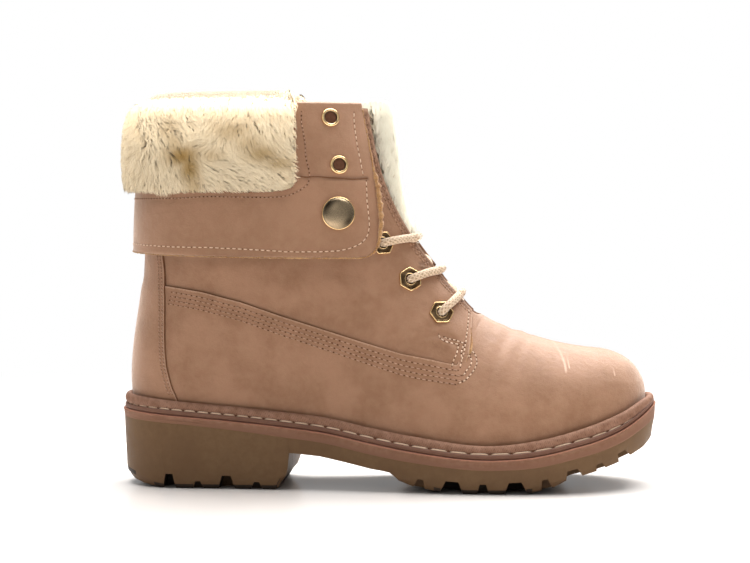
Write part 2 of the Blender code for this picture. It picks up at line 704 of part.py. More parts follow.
def cuff_path(share, side, outside):
    # The cuff's inner face at one place round the shaft: up the flap, over the edge, down inside.
    angle = math.pi - (math.pi - facing_angle(SHAFT_TOP)) * share
    hang = SHAFT_TOP - 2.3
    top = beside_shaft(angle, hang, side, 1.1)
    low = flap_edge(share) * (1, side)
    points = []
    for z in outside(share):
        fall = np.clip((hang - z) / (hang - CUFF_BOTTOM), 0, 1)
        ease = 1 - (1 - fall) ** 2
        points.append([*(top[:2] + (low - top[:2]) * ease), z])
    over = [(0.7, 1.0), (-SHAFT_WALL / 2, 1.2), (-SHAFT_WALL - 0.5, 0.9), (-SHAFT_WALL - 1.0, -2.3)]
    for distance, lift in over:
        points.append(beside_shaft(angle, SHAFT_TOP + lift, side, distance))
        points[-1][2] = SHAFT_TOP + lift
    inside = beside_shaft(angle, SHAFT_TOP - 12.0, side, -SHAFT_WALL - 1.1)
    points.append(inside)
    return points


def cuff_surface(shares, outside):
    # Grid of the cuff's inner face, from the outer front edge round the back to the inner side's.
    columns = [cuff_path(share, LATERAL, outside) for share in shares[::-1]]
    columns += [cuff_path(share, MEDIAL, outside) for share in shares[1:]]
    return np.array(columns).transpose(1, 0, 2)


def band_heights(share):
    # Rows of the flap: its lower edge, two rows up the band, the fur's seam, and up to the fold.
    bottom = flap_bottom(share)
    return [*np.linspace(bottom, FUR_START, 4), 163.0, 177.0, SHAFT_TOP - 2.3]


def cuff():
    shares = np.array([*np.linspace(0, 0.84, 8), 0.9, 0.93, 0.955, 0.975, 0.99, 1.0])
    base = cuff_surface(shares, band_heights)
    return closed_shell("cuff", offset(base, CUFF_WALL), base, "upper_leather")


def cuff_fur():
    shares = np.linspace(0, FUR_END, 10)
    base = cuff_surface(shares, lambda share: [row.z for row in FUR_OUTSIDE])
    depth = np.array([*(row.depth for row in FUR_OUTSIDE), *FUR_OVER, FUR_INSIDE])
    thickness = depth[:, None] * edge_fade(base.shape[1], 0.55)
    thickness[len(FUR_OUTSIDE) - 1:] *= FUR_BACK + (1 - FUR_BACK) * np.linspace(-1, 1, base.shape[1]) ** 4
    clear = CUFF_WALL + 3 * GAP
    pile = offset(base, clear + thickness)
    return closed_shell("cuff_fur", pile, offset(base, clear), "lining_fur")


# ---- metal trim ------------------------------------------------------------------------------

def cuff_form():
    # The cuff's outer face as a search tree.
    base = cuff_surface(np.linspace(0, 1, 60), band_heights)
    grid = offset(base, CUFF_WALL)
    rows, columns = grid.shape[:2]
    corners = [Vector(point) for point in grid.reshape(-1, 3)]
    faces = []
    for r in range(rows - 6):
        for k in range(columns - 1):
            a = r * columns + k
            faces.append((a, a + columns, a + columns + 1, a + 1))
    return BVHTree.FromPolygons(corners, faces)


def on_side(tree, spot, side):
    # Point and outward normal where a spot seen from the side lies on a surface.
    return touch(tree, (spot.x, side * 200.0, spot.z), (0, -side, 0))


def seat_frame(point, normal, turn, lift):
    # Placement with Z along the surface's normal and Y up the boot, in metres.
    up = unit(np.array([0, 0, 1.0]) - normal * normal[2])
    across = np.cross(up, normal)
    frame = Matrix((across, up, normal)).transposed().to_4x4()
    frame.translation = Vector(place(point + normal * lift))
    return frame @ Matrix.Rotation(math.radians(turn), 4, "Z")


def trim_ring(name, outer, hole, height, frame):
    # A ring from an outer outline to a round hole, with its face sloping in.
    bm = bmesh.new()
    inner = circle(hole, len(outer))
    loops = []
    profile = [(outer, 1.0, 0.0), (outer, 0.97, height), (inner, 1.15, height * 0.8), (inner, 1.0, 0.0)]
    for points, scale, z in profile:
        loops.append([bm.verts.new((x * scale * MM, y * scale * MM, z * MM)) for x, y in points])
    for low, high in zip(loops, loops[1:] + loops[:1]):
        join_loops(bm, low, high)
    bmesh.ops.recalc_face_normals(bm, faces=bm.faces)
    bmesh.ops.transform(bm, matrix=frame, verts=bm.verts)
    return add_object(name, bm, "gold_metal")


def hexagon(across_flats):
    # Corners and middles of the sides of a hexagon that stands on a corner.
    points = []
    for k in range(12):
        radius = across_flats / 2 / (math.cos(math.pi / 6) if k % 2 == 0 else 1)
        points.append((radius * math.sin(k * math.pi / 6), radius * math.cos(k * math.pi / 6)))
    return points


def circle(radius, count=12):
    angles = [2 * math.pi * k / count for k in range(count)]
    return [(radius * math.sin(angle), radius * math.cos(angle)) for angle in angles]


def snap(name, frame):
    # A round press stud with a domed cap.
    bm = bmesh.new()
    loops = []
    for radius, z in [(7.6, 0.0), (8.4, 0.7), (8.4, 1.5), (7.7, 2.2), (4.4, 2.9)]:
        loops.append([bm.verts.new((x * MM, y * MM, z * MM)) for x, y in circle(radius, 20)])
    for low, high in zip(loops, loops[1:]):
        join_loops(bm, low, high)
    bm.faces.new(loops[0])
    bm.faces.new(loops[-1])
    bmesh.ops.recalc_face_normals(bm, faces=bm.faces)
    bmesh.ops.transform(bm, matrix=frame, verts=bm.verts)
    return add_object(name, bm, "gold_metal")


def trims(last, flap):
    for side, word in ((LATERAL, "lateral"), (MEDIAL, "medial")):
        for number, spot in enumerate(HEX_EYELETS, 1):
            frame = seat_frame(*on_side(last, spot, side), spot.turn, 2 * GAP)
            trim_ring(f"hex_eyelet_{word}_{number}", hexagon(11.2), 2.9, 1.3, frame)
        for number, spot in enumerate(ROUND_EYELETS, 1):
            frame = seat_frame(*on_side(flap, spot, side), spot.turn, GAP)
            trim_ring(f"round_eyelet_{word}_{number}", circle(4.6), 2.5, 1.2, frame)
        snap(f"snap_{word}", seat_frame(*on_side(flap, SNAP, side), SNAP.turn, GAP))


# ---- laces -----------------------------------------------------------------------------------

def station_of(point):
    # The tongue station whose cross plane holds a point.
    def miss(at):
        middle, outward = front_frame(at)
        return abs(np.cross([0, 1, 0], outward) @ (point - middle))
    return min(np.linspace(1, 7, 601), key=miss)


def strand(tree, start, end, hump=0.0, both_sides=False):
    # Lace centre line over the instep, from one (station, y) to another: over the first facing, down on
    # the tongue, and up over the other facing where both_sides is set. hump lifts it at a crossing.
    side = math.copysign(1, start[1])
    bank = [row.y for row in CLIMB[:0:-1]]
    far = [-y for y in bank[::-1]] if both_sides else [-CLIMB[1].y]
    path = [start[1] * side, (start[1] * side + bank[0]) / 2, *bank, 0.0, *far, end[1] * side]
    points = []
    for y in path:
        at = start[0] + (end[0] - start[0]) * (y - path[0]) / (path[-1] - path[0])
        point, normal = on_front(tree, at, y * side)
        low = LACE_LIFT - tongue_depth(at, y)
        share = straight(CLIMB, "share", abs(y)) if y > 0 or both_sides else 0.0
        crossing = hump * math.exp(-((y / 5.0) ** 2))
        points.append(point + normal * (low + (LACE_LIFT - low) * share + crossing))
    return points


def cord_object(name, points):
    # A round cord along a line of points, as a welded mesh.
    curve = bpy.data.curves.new(name, "CURVE")
    curve.dimensions = "3D"
    curve.bevel_depth = CORD / 2 * MM
    curve.bevel_resolution = 1
    curve.use_fill_caps = True
    spline = curve.splines.new("POLY")
    spline.points.add(len(points) - 1)
    for target, point in zip(spline.points, place(points)):
        target.co = (*point, 1)
    guide = bpy.data.objects.new(name + "_guide", curve)
    bpy.context.scene.collection.objects.link(guide)
    bpy.context.view_layer.update()
    mesh = bpy.data.meshes.new_from_object(guide.evaluated_get(bpy.context.evaluated_depsgraph_get()))
    bm = bmesh.new()
    bm.from_mesh(mesh)
    bmesh.ops.remove_doubles(bm, verts=bm.verts, dist=0.01 * MM)
    bmesh.ops.recalc_face_normals(bm, faces=bm.faces)
    bpy.data.objects.remove(guide)
    bpy.data.meshes.remove(mesh)
    return bm


def lace_cross(name, tree, upper, lower):
    # Two strands from one pair of eyelets down across each other, under the opposite facing: one solid.
    solids = []
    for side, hump in ((LATERAL, 0.0), (MEDIAL, CORD * LACE_CROSSING)):
        high, _ = on_side(tree, upper, side)
        low, _ = on_side(tree, lower, side)
        start = (station_of(high) - 0.12, high[1] - side * LACE_FROM_EYELET)
        end = (station_of(low) + 0.35, -side * (SHAFT[0].gap - LACE_UNDER))
        bm = cord_object(name, strand(tree, start, end, hump))
        if hump:
            solids.append(add_object(f"{name}_over", bm, "lace_cord", collection="cutters"))
        else:
            solids.append(add_object(name, bm, "lace_cord"))
    join = solids[0].modifiers.new("crossing", "BOOLEAN")
    join.operation = "UNION"
    join.object = solids[1]
    solids[1].hide_render = True
    solids[1].display_type = "WIRE"


def lace_bar(name, tree, spot):
    # The lowest run, straight across from eyelet to eyelet.
    ends = [on_side(tree, spot, side)[0] for side in (LATERAL, MEDIAL)]
    start = (station_of(ends[0]), ends[0][1] + LACE_FROM_EYELET)
    finish = (station_of(ends[1]), ends[1][1] - LACE_FROM_EYELET)
    add_object(name, cord_object(name, strand(tree, start, finish, both_sides=True)), "lace_cord")


# ---- start -----------------------------------------------------------------------------------

def clear_scene():
    for old in list(bpy.data.objects):
        bpy.data.objects.remove(old, do_unlink=True)
    for name in ("ankle_boot", "cutters"):
        collection = bpy.data.collections.new(name)
        bpy.context.scene.collection.children.link(collection)


def make_materials():
    for name, (colour, roughness, metallic) in COLOURS.items():
        material = bpy.data.materials.new(name)
        material.use_nodes = True
        shader = material.node_tree.nodes["Principled BSDF"]
        shader.inputs["Base Color"].default_value = (*colour, 1)
        shader.inputs["Roughness"].default_value = roughness
        shader.inputs["Metallic"].default_value = metallic


def main():
    clear_scene()
    make_materials()
    outsole()
    midsole()
    welt()
    insole()
    upper()
    tree = last_form()
    tongue(tree)
    tongue_fur(tree)
    cuff()
    cuff_fur()
    trims(tree, cuff_form())
    lace_cross("lace_cross_upper", tree, HEX_EYELETS[0], HEX_EYELETS[1])
    lace_cross("lace_cross_lower", tree, HEX_EYELETS[1], HEX_EYELETS[2])
    lace_bar("lace_bottom_bar", tree, HEX_EYELETS[2])


main()
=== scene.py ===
import json
import math

import bmesh
import bpy
import numpy as np
from mathutils import Matrix, Vector
from mathutils.bvhtree import BVHTree
from mathutils.kdtree import KDTree

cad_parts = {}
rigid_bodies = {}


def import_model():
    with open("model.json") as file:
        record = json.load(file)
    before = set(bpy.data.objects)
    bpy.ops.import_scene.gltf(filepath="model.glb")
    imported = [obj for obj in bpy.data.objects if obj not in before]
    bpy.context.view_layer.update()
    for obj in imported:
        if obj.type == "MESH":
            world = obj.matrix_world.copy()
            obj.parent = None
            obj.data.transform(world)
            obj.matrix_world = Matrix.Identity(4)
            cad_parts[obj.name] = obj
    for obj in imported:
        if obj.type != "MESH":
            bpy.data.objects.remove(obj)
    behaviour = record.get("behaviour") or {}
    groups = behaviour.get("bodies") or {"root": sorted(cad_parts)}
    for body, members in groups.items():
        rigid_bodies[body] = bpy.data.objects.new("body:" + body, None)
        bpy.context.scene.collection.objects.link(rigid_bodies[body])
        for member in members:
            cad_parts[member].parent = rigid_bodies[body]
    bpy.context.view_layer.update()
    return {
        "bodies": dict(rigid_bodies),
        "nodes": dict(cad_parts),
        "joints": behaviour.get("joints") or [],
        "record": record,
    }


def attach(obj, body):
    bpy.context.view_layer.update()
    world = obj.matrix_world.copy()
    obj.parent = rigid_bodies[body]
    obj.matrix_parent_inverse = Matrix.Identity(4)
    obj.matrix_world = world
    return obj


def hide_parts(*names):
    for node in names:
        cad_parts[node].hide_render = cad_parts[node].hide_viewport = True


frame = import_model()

# Fold-down lace-up ankle boot. Sizes in the tables are millimetres: x from the back of the heel to the toe
# and z up from the floor, as seen from the side. Every mesh is in metres, with the toe towards +X.
mm = 0.001
heelBack = 139.0  # from the back of the heel to the origin under the middle of the boot
lateral, medial = -1, 1
bothSides = ((lateral, "Lateral"), (medial, "Medial"))
dice = np.random.default_rng(7)


# working parts that every piece uses

def place(points):
    # from the boot's own millimetres to metres in the frame
    return (np.asarray(points, float) - (heelBack, 0, 0)) * mm


def inBoot(co):
    # metres in the frame to the boot's own millimetres
    return np.asarray(co) / mm + (heelBack, 0, 0)


def unit(vectors):
    return vectors / np.maximum(np.linalg.norm(vectors, axis=-1, keepdims=True), 1e-12)


def blendStep(low, high, value):
    # 0 at low and 1 at high, with a soft way between them
    t = np.clip((np.asarray(value, float) - low) / (high - low), 0, 1)
    return t * t * (3 - 2 * t)


def lookUp(table, at, key=0, value=1):
    # reads one column of a table by another, straight between its rows
    rows = np.array(table, float)
    return np.interp(at, rows[:, key], rows[:, value])


def runLength(points):
    # distance along a line at each of its points
    return np.concatenate([[0], np.cumsum(np.linalg.norm(np.diff(points, axis=0), axis=1))])


def readLine(at, length, points):
    # the places at some distances along a line
    return np.stack([np.interp(at, length, points[:, k]) for k in range(points.shape[1])], axis=1)


def columns(*parts):
    # rows of values, one for each point; a single value holds for all of them
    return np.column_stack(np.broadcast_arrays(*parts))


def pointTree(points):
    # finds the nearest of some points
    tree = KDTree(len(points))
    for i, co in enumerate(points):
        tree.insert(co, i)
    tree.balance()
    return tree


def nearest(points, targets):
    # the number of the target that is nearest to each point
    tree = pointTree(targets)
    return np.array([tree.find(co)[1] for co in points])


def newObject(name, data):
    made = bpy.data.objects.new(name, data)
    bpy.context.scene.collection.objects.link(made)
    return made


def meshOf(name, bm):
    mesh = bpy.data.meshes.new(name)
    bm.to_mesh(mesh)
    bm.free()
    return mesh


def bmeshOf(mesh):
    bm = bmesh.new()
    bm.from_mesh(mesh)
    return bm


def afterModifiers(rough):
    # the mesh that an object's modifiers make, as a bmesh
    bpy.context.view_layer.update()
    made = bpy.data.meshes.new_from_object(rough.evaluated_get(bpy.context.evaluated_depsgraph_get()))
    bm = bmeshOf(made)
    bpy.data.meshes.remove(made)
    return bm


def addPiece(name, mesh, materials, replaced=(), smooth=True):
    # a finished piece: rides on the boot, stands for CAD nodes, and takes the materials it is given
    if isinstance(mesh, bmesh.types.BMesh):
        mesh = meshOf(name, mesh)
    for material in materials:
        mesh.materials.append(material)
    if smooth:
        mesh.shade_smooth()
    piece = newObject(name, mesh)
    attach(piece, "root")
    if replaced:
        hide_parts(*replaced)


def mergedCopy(node):
    # a CAD node's loose triangles as one merged mesh, mostly of quads
    bm = bmeshOf(frame["nodes"][node].data)
    for layer in list(bm.loops.layers.uv):
        bm.loops.layers.uv.remove(layer)
    bmesh.ops.remove_doubles(bm, verts=bm.verts, dist=1e-5)
    bmesh.ops.join_triangles(
        bm, faces=bm.faces, cmp_seam=False, cmp_sharp=False, cmp_uvs=False, cmp_vcols=False,
        cmp_materials=False, angle_face_threshold=math.radians(40), angle_shape_threshold=math.radians(60))
    for face in bm.faces:
        face.smooth = True
    return bm


def joinedFaces(bm, seed, limit):
    # the faces that join the one nearest to seed without a fold sharper than limit degrees
    seed = Vector(seed)
    start = min(bm.faces, key=lambda face: (face.calc_center_median() - seed).length)
    found, edge = {start}, [start]
    while edge:
        for side in edge.pop().edges:
            if len(side.link_faces) == 2 and math.degrees(side.calc_face_angle(0)) < limit:
                fresh = [face for face in side.link_faces if face not in found]
                found.update(fresh)
                edge += fresh
    return found


def sheetFrom(bm, seed, limit):
    found = joinedFaces(bm, seed, limit)
    bmesh.ops.delete(bm, geom=[face for face in bm.faces if face not in found], context="FACES")
    return bm


def refined(bm, levels, creaseAngle=None):
    # the mesh after a subdivision surface, as a new bmesh
    if creaseAngle:
        crease = bm.edges.layers.float.get("crease_edge") or bm.edges.layers.float.new("crease_edge")
        for side in bm.edges:
            if len(side.link_faces) == 2 and math.degrees(side.calc_face_angle(0)) > creaseAngle:
                side[crease] = 0.85
    rough = newObject("refining", meshOf("refining", bm))
    step = rough.modifiers.new("smooth", "SUBSURF")
    step.levels = step.render_levels = levels
    step.boundary_smooth = "PRESERVE_CORNERS"
    result = afterModifiers(rough)
    bpy.data.objects.remove(rough)
    return result


def coordinates(bm):
    return np.array([v.co for v in bm.verts])


def cutAlong(bm, field):
    # cuts the mesh where field, a signed distance in millimetres, is zero, and keeps the positive part
    bm.verts.ensure_lookup_table()
    bm.verts.index_update()
    value = field(inBoot(coordinates(bm)))
    near = 0.22  # a corner this near to the line, as a share of its edge, moves onto it
    for side in list(bm.edges):
        a, b = side.verts
        fa, fb = value[a.index], value[b.index]
        if fa * fb < 0:
            t = fa / (fa - fb)
            if t < near:
                a.co = a.co.lerp(b.co, t)
                value[a.index] = 0.0
            elif t > 1 - near:
                b.co = b.co.lerp(a.co, 1 - t)
                value[b.index] = 0.0
    crossing = [side for side in bm.edges if value[side.verts[0].index] * value[side.verts[1].index] < 0]
    onLine = [v for v in bm.verts if value[v.index] == 0.0]
    below = {v for v in bm.verts if value[v.index] < 0}
    for side in crossing:
        a, b = side.verts
        fa, fb = value[a.index], value[b.index]
        onLine.append(bmesh.utils.edge_split(side, a, fa / (fa - fb))[1])
    bmesh.ops.connect_verts(bm, verts=onLine, check_degenerate=False)
    gone = [face for face in bm.faces if any(v in below for v in face.verts)]
    bmesh.ops.delete(bm, geom=gone, context="FACES")
    bmesh.ops.delete(bm, geom=[v for v in bm.verts if not v.link_faces], context="VERTS")
    return bm


def edgePath(bm, wanted, sides=None):
    # vertices in order along the longest run of border edges for which wanted(co in mm) holds
    sides = sides or [s for s in bm.edges if len(s.link_faces) == 1]
    links = {}
    for s in sides:
        if all(wanted(inBoot(v.co)) for v in s.verts):
            for v in s.verts:
                links.setdefault(v, []).append(s)
    runs, used = [], set()
    for here in [v for v, joined in links.items() if len(joined) == 1] + list(links):
        run = []
        while here and here not in used:
            used.add(here)
            run.append(here)
            here = next((s.other_vert(here) for s in links[here] if s.other_vert(here) not in used), None)
        runs.append(run)
    return np.array([v.co for v in max(runs, key=len)])


def resampled(points, pitch):
    # the same line with points at an even pitch
    length = runLength(points)
    count = max(2, int(round(length[-1] / pitch)) + 1)
    return readLine(np.linspace(0, length[-1], count), length, points)


def through(xs, ys, at):
    # a smooth curve through ys at xs, read at some places
    slope = np.gradient(ys, xs, axis=0)
    i = np.clip(np.searchsorted(xs, at) - 1, 0, len(xs) - 2)
    h = xs[i + 1] - xs[i]
    t = (at - xs[i]) / h
    if ys.ndim == 2:
        h, t = h[:, None], t[:, None]
    start = (2 * t**3 - 3 * t**2 + 1) * ys[i] + (t**3 - 2 * t**2 + t) * h * slope[i]
    return start + (3 * t**2 - 2 * t**3) * ys[i + 1] + (t**3 - t**2) * h * slope[i + 1]


def smoothLine(points, count):
    # a smooth line through a few points
    points = np.asarray(points, float)
    chord = np.concatenate([[0], np.cumsum(np.linalg.norm(np.diff(points, axis=0), axis=1) ** 0.7)])
    return through(chord, points, np.linspace(0, chord[-1], count))


def smoothRun(points, passes=6):
    # the same line with its wiggles eased
    points = np.array(points, float)
    for _ in range(passes):
        points[1:-1] = 0.5 * points[1:-1] + 0.25 * (points[:-2] + points[2:])
    return points


# materials

def setInputs(tree, target, inputs):
    # each input takes a value, or another node's output
    for name, value in inputs.items():
        if isinstance(value, bpy.types.NodeSocket):
            tree.links.new(value, target.inputs[name])
        else:
            target.inputs[name].default_value = value


def node(tree, kind, inputs=None, **settings):
    new = tree.nodes.new("ShaderNode" + kind)
    for name, value in settings.items():
        setattr(new, name, value)
    setInputs(tree, new, inputs or {})
    return new


def attribute(tree, name, output="Fac"):
    return node(tree, "Attribute", attribute_name=name).outputs[output]


def objectSpot(tree):
    return node(tree, "TexCoord").outputs["Object"]


def mixColour(tree, amount, first, second):
    first, second = (c if isinstance(c, bpy.types.NodeSocket) else (*c, 1) for c in (first, second))
    mix = node(tree, "Mix", data_type="RGBA", clamp_factor=True)
    setInputs(tree, mix, {0: amount, 6: first, 7: second})
    return mix.outputs[2]


def maths(tree, operation, first, second=0.0):
    return node(tree, "Math", {0: first, 1: second}, operation=operation).outputs[0]


def times(tree, first, second):
    return maths(tree, "MULTIPLY", first, second)


def plus(tree, first, second):
    return maths(tree, "ADD", first, second)


def ranged(tree, value, low, high, toLow=0.0, toHigh=1.0):
    inputs = {"Value": value, "From Min": low, "From Max": high, "To Min": toLow, "To Max": toHigh}
    return node(tree, "MapRange", inputs, interpolation_type="SMOOTHSTEP").outputs["Result"]


def groupFrame(name, inputs, outputs):
    # an empty group of nodes whose inputs and outputs are plain values
    group = bpy.data.node_groups.new(name, "ShaderNodeTree")
    for label, value in inputs.items():
        group.interface.new_socket(label, in_out="INPUT", socket_type="NodeSocketFloat").default_value = value
    for label in outputs:
        group.interface.new_socket(label, in_out="OUTPUT", socket_type="NodeSocketFloat")
    return group, group.nodes.new("NodeGroupInput").outputs, group.nodes.new("NodeGroupOutput")


def makeMottle():
    # cloudy patches, smaller flecks and a fine grain on the piece's own coordinates
    group, given, out = groupFrame(
        "mottle", {"Patch": 70.0, "Fleck": 420.0, "Grain": 2600.0}, ("Patches", "Flecks", "Grain"))
    spot = objectSpot(group)
    for name, output, detail, rough, low, high in (
            ("Patch", "Patches", 3.0, 0.55, 0.34, 0.68), ("Fleck", "Flecks", 4.0, 0.6, 0.3, 0.72),
            ("Grain", "Grain", 3.0, 0.6, 0.25, 0.75)):
        noise = node(group, "TexNoise", {
            "Vector": spot, "Scale": given[name], "Detail": detail, "Roughness": rough, "Distortion": 0.25})
        setInputs(group, out, {output: ranged(group, noise.outputs["Fac"], low, high)})
    return group


def makeWearAndHighlight():
    # a ragged mask along edges from the piece's own "edge" attribute
    group, given, out = groupFrame("edgeWear", {"Amount": 1.0, "Ragged": 900.0}, ("Mask",))
    noise = node(group, "TexNoise", {"Vector": objectSpot(group), "Scale": given["Ragged"], "Detail": 3.0})
    rough = times(group, maths(group, "SUBTRACT", noise.outputs["Fac"], 0.5), 0.9)
    mask = ranged(group, plus(group, attribute(group, "edge"), rough), 0.35, 1.05)
    setInputs(group, out, {"Mask": times(group, mask, given["Amount"])})
    return group


mottle, edgeWear = makeMottle(), makeWearAndHighlight()


def useGroup(tree, group, **values):
    new = tree.nodes.new("ShaderNodeGroup")
    new.node_tree = group
    setInputs(tree, new, values)
    return new.outputs


def newMaterial(name, roughness, metallic=0.0):
    material = bpy.data.materials.new(name)
    material.use_nodes = True
    tree = material.node_tree
    shader = tree.nodes["Principled BSDF"]
    setInputs(tree, shader, {"Roughness": roughness, "Metallic": metallic})
    return material, tree, shader


def bumped(tree, shader, height, strength, distance):
    bump = node(tree, "Bump", {"Height": height, "Strength": strength, "Distance": distance})
    setInputs(tree, shader, {"Normal": bump.outputs["Normal"]})


def setSurface(tree, shader):
    setInputs(tree, tree.nodes["Material Output"], {"Surface": shader})


def bentLine(tree, x0, z0, slope, bend, half, width):
    # 1 on a thin bent line on the side of the toe, fading out at its ends
    parts = node(tree, "SeparateXYZ", {0: objectSpot(tree)}).outputs
    x = plus(tree, times(tree, parts[0], 1 / mm), heelBack - x0)
    z = plus(tree, times(tree, parts[2], 1 / mm), -z0)
    aim = times(tree, z, plus(tree, times(tree, z, bend), slope))
    across = maths(tree, "DIVIDE", maths(tree, "ABSOLUTE", maths(tree, "SUBTRACT", x, aim)), width)
    along = maths(tree, "DIVIDE", maths(tree, "ABSOLUTE", z), half)
    line = times(tree, ranged(tree, across, 1.0, 0.0), ranged(tree, along, 1.0, 0.7))
    line = times(tree, line, ranged(tree, z, half, -half, 0.1, 1.0))
    return times(tree, line, maths(tree, "LESS_THAN", parts[1], 0.0))


def leather(name, look):
    # nubuck: cloudy tan with pink and sandy patches, paler where it is rubbed, a soft bloom at grazing angles
    material, tree, shader = newMaterial(name, look["roughness"])
    marks = useGroup(tree, mottle, Patch=look["patch"], Fleck=look["fleck"], Grain=look["grain"])
    colour = mixColour(tree, marks["Patches"], look["base"], look["second"])
    colour = mixColour(tree, times(tree, marks["Flecks"], 0.35), colour, look["third"])
    colour = mixColour(tree, times(tree, marks["Grain"], 0.16), colour, look["dark"])
    colour = mixColour(tree, attribute(tree, "shade"), colour, look["dark"])
    wornAndHighlight = useGroup(tree, edgeWear, Amount=look["wearAndHighlight"], Ragged=800.0)["Mask"]
    colour = mixColour(tree, wornAndHighlight, colour, look["wornAndHighlight"])
    height = plus(tree, times(tree, marks["Grain"], 0.6), marks["Flecks"])
    # light lines on the toe's creases: rubbed nap with a painted highlight
    for line in look.get("scuffHighlightLines", ()):
        scuffHighlight = bentLine(tree, *line)
        colour = mixColour(tree, times(tree, scuffHighlight, 0.55), colour, look["scuffHighlightColour"])
        height = plus(tree, height, times(tree, scuffHighlight, 1.2))
    setInputs(tree, shader, {
        "Base Color": colour,
        "Roughness": plus(tree, times(tree, marks["Flecks"], 0.12), look["roughness"] - 0.06),
        "Sheen Weight": look["sheen"],
        "Sheen Roughness": 0.45,
        "Sheen Tint": (1.0, 0.86, 0.76, 1),
        "Specular IOR Level": look["gloss"]})
    bumped(tree, shader, height, look["relief"], 0.0003)
    return material


plainLook = {  # what a plain material has unless its own values say otherwise
    "metallic": 0.0,
    "patch": 60.0,
    "third": None,  # a third colour for the cloudy patches
    "wearAndHighlight": 0.0,
    "wornAndHighlight": (1.0, 1.0, 1.0),
    "lower": None,  # the colour where the piece's own "shade" is 1
    "change": 0.15,  # how far the roughness changes with the flecks
    "gloss": 0.5,
    "sheen": 0.0,
    "depth": 0.0002,
}


def plainMix(name, own):
    # two colours mixed by flecks, with a fine grain; for rubber, thread, raw edges and the like
    look = plainLook | own
    material, tree, shader = newMaterial(name, look["roughness"], look["metallic"])
    marks = useGroup(tree, mottle, Patch=look["patch"], Fleck=look["fleck"], Grain=look["grain"])
    colour = mixColour(tree, marks["Flecks"], look["base"], look["second"])
    if look["third"]:
        colour = mixColour(tree, times(tree, marks["Patches"], 0.5), colour, look["third"])
    # wear along edges; on the midsole strip the same mask paints a highlight
    wornAndHighlight = useGroup(tree, edgeWear, Amount=look["wearAndHighlight"], Ragged=700.0)["Mask"]
    colour = mixColour(tree, wornAndHighlight, colour, look["wornAndHighlight"])
    if look["lower"]:
        colour = mixColour(tree, attribute(tree, "shade"), colour, look["lower"])
    rough = times(tree, marks["Flecks"], look["change"])
    setInputs(tree, shader, {
        "Base Color": colour,
        "Roughness": plus(tree, rough, look["roughness"] - look["change"] * 0.07 / 0.15),
        "Specular IOR Level": look["gloss"],
        "Sheen Weight": look["sheen"]})
    bumped(tree, shader, marks["Grain"], look["relief"], look["depth"])
    return material


# camera, light and floor

studio = {
    "cameraPlace": (0.0732, -1.1472, 0.150),
    "cameraTurn": 4.0,  # degrees round towards the toe
    "cameraTilt": 2.33,  # degrees down
    "lens": 105.66,
    "backdrop": 1.0,
    "fill": 0.41,
    "softboxes": {  # place, what it points at, size and power
        "topSoftbox": ((0.05, 0.25, 1.25), (0, 0, 0.08), (1.6, 1.3), 51.0),
        "backSoftbox": ((0.15, 0.95, 1.25), (0, 0, 0.1), (1.6, 0.8), 34.0),
        "frontSoftbox": ((-0.25, -1.4, 0.9), (0, 0, 0.08), (1.2, 0.8), 2.0),
    },
    "floorHeight": -0.0021,  # the soft lower edge of the tread rests here
    "floorReach": 8.0,
    "floorFade": (0.30, 0.75),  # metres from the boot over which the floor turns to plain white
    "floor": {"Base Color": (0.84, 0.795, 0.76, 1), "Roughness": 0.17, "Specular IOR Level": 0.35},
}


def makeCamera():
    data = bpy.data.cameras.new("camera")
    data.lens = studio["lens"]
    data.sensor_width = 36
    data.clip_end = 50
    camera = newObject("camera", data)
    camera.location = studio["cameraPlace"]
    turn, tilt = math.radians(studio["cameraTurn"]), math.radians(studio["cameraTilt"])
    aim = Vector((-math.sin(turn) * math.cos(tilt), math.cos(turn) * math.cos(tilt), -math.sin(tilt)))
    camera.rotation_euler = aim.to_track_quat("-Z", "Y").to_euler()
    bpy.context.scene.camera = camera


def makeSoftbox(name, place, aim, size, power):
    data = bpy.data.lights.new(name, "AREA")
    data.shape = "RECTANGLE"
    data.size, data.size_y = size
    data.energy = power
    light = newObject(name, data)
    light.location = place
    light.rotation_euler = (Vector(aim) - Vector(place)).to_track_quat("-Z", "Y").to_euler()


def makeWorld():
    world = bpy.data.worlds.new("studio")
    bpy.context.scene.world = world
    world.use_nodes = True
    tree = world.node_tree
    tree.nodes.clear()
    soft, seen = (node(tree, "Background", {"Strength": studio[name], "Color": (1, 1, 1, 1)}).outputs[0]
                  for name in ("fill", "backdrop"))
    direct = node(tree, "LightPath").outputs["Is Camera Ray"]
    mix = node(tree, "MixShader", {0: direct, 1: soft, 2: seen})
    node(tree, "OutputWorld", {"Surface": mix.outputs[0]})


def makeFloor():
    bm = bmesh.new()
    bmesh.ops.create_grid(bm, x_segments=1, y_segments=1, size=studio["floorReach"])
    for v in bm.verts:
        v.co.z = studio["floorHeight"]
    floor = newObject("floor", meshOf("floor", bm))
    material, tree, shader = newMaterial("floorPaper", 0.5)
    setInputs(tree, shader, studio["floor"])
    # far from the boot the floor turns to plain white, so it has no edge against the backdrop
    reach = node(tree, "VectorMath", {0: objectSpot(tree)}, operation="LENGTH").outputs["Value"]
    low, high = studio["floorFade"]
    fade = node(tree, "MapRange", {"Value": reach, "From Min": low, "From Max": high},
                interpolation_type="SMOOTHERSTEP").outputs["Result"]
    white = node(tree, "Emission").outputs[0]
    setSurface(tree, node(tree, "MixShader", {0: fade, 1: shader.outputs[0], 2: white}).outputs[0])
    floor.data.materials.append(material)


bpy.context.scene.view_settings.view_transform = "Standard"
makeCamera()
makeWorld()
makeFloor()
for name, values in studio["softboxes"].items():
    makeSoftbox(name, *values)
print("camera, light and floor made")


# leather, thread and raw edges


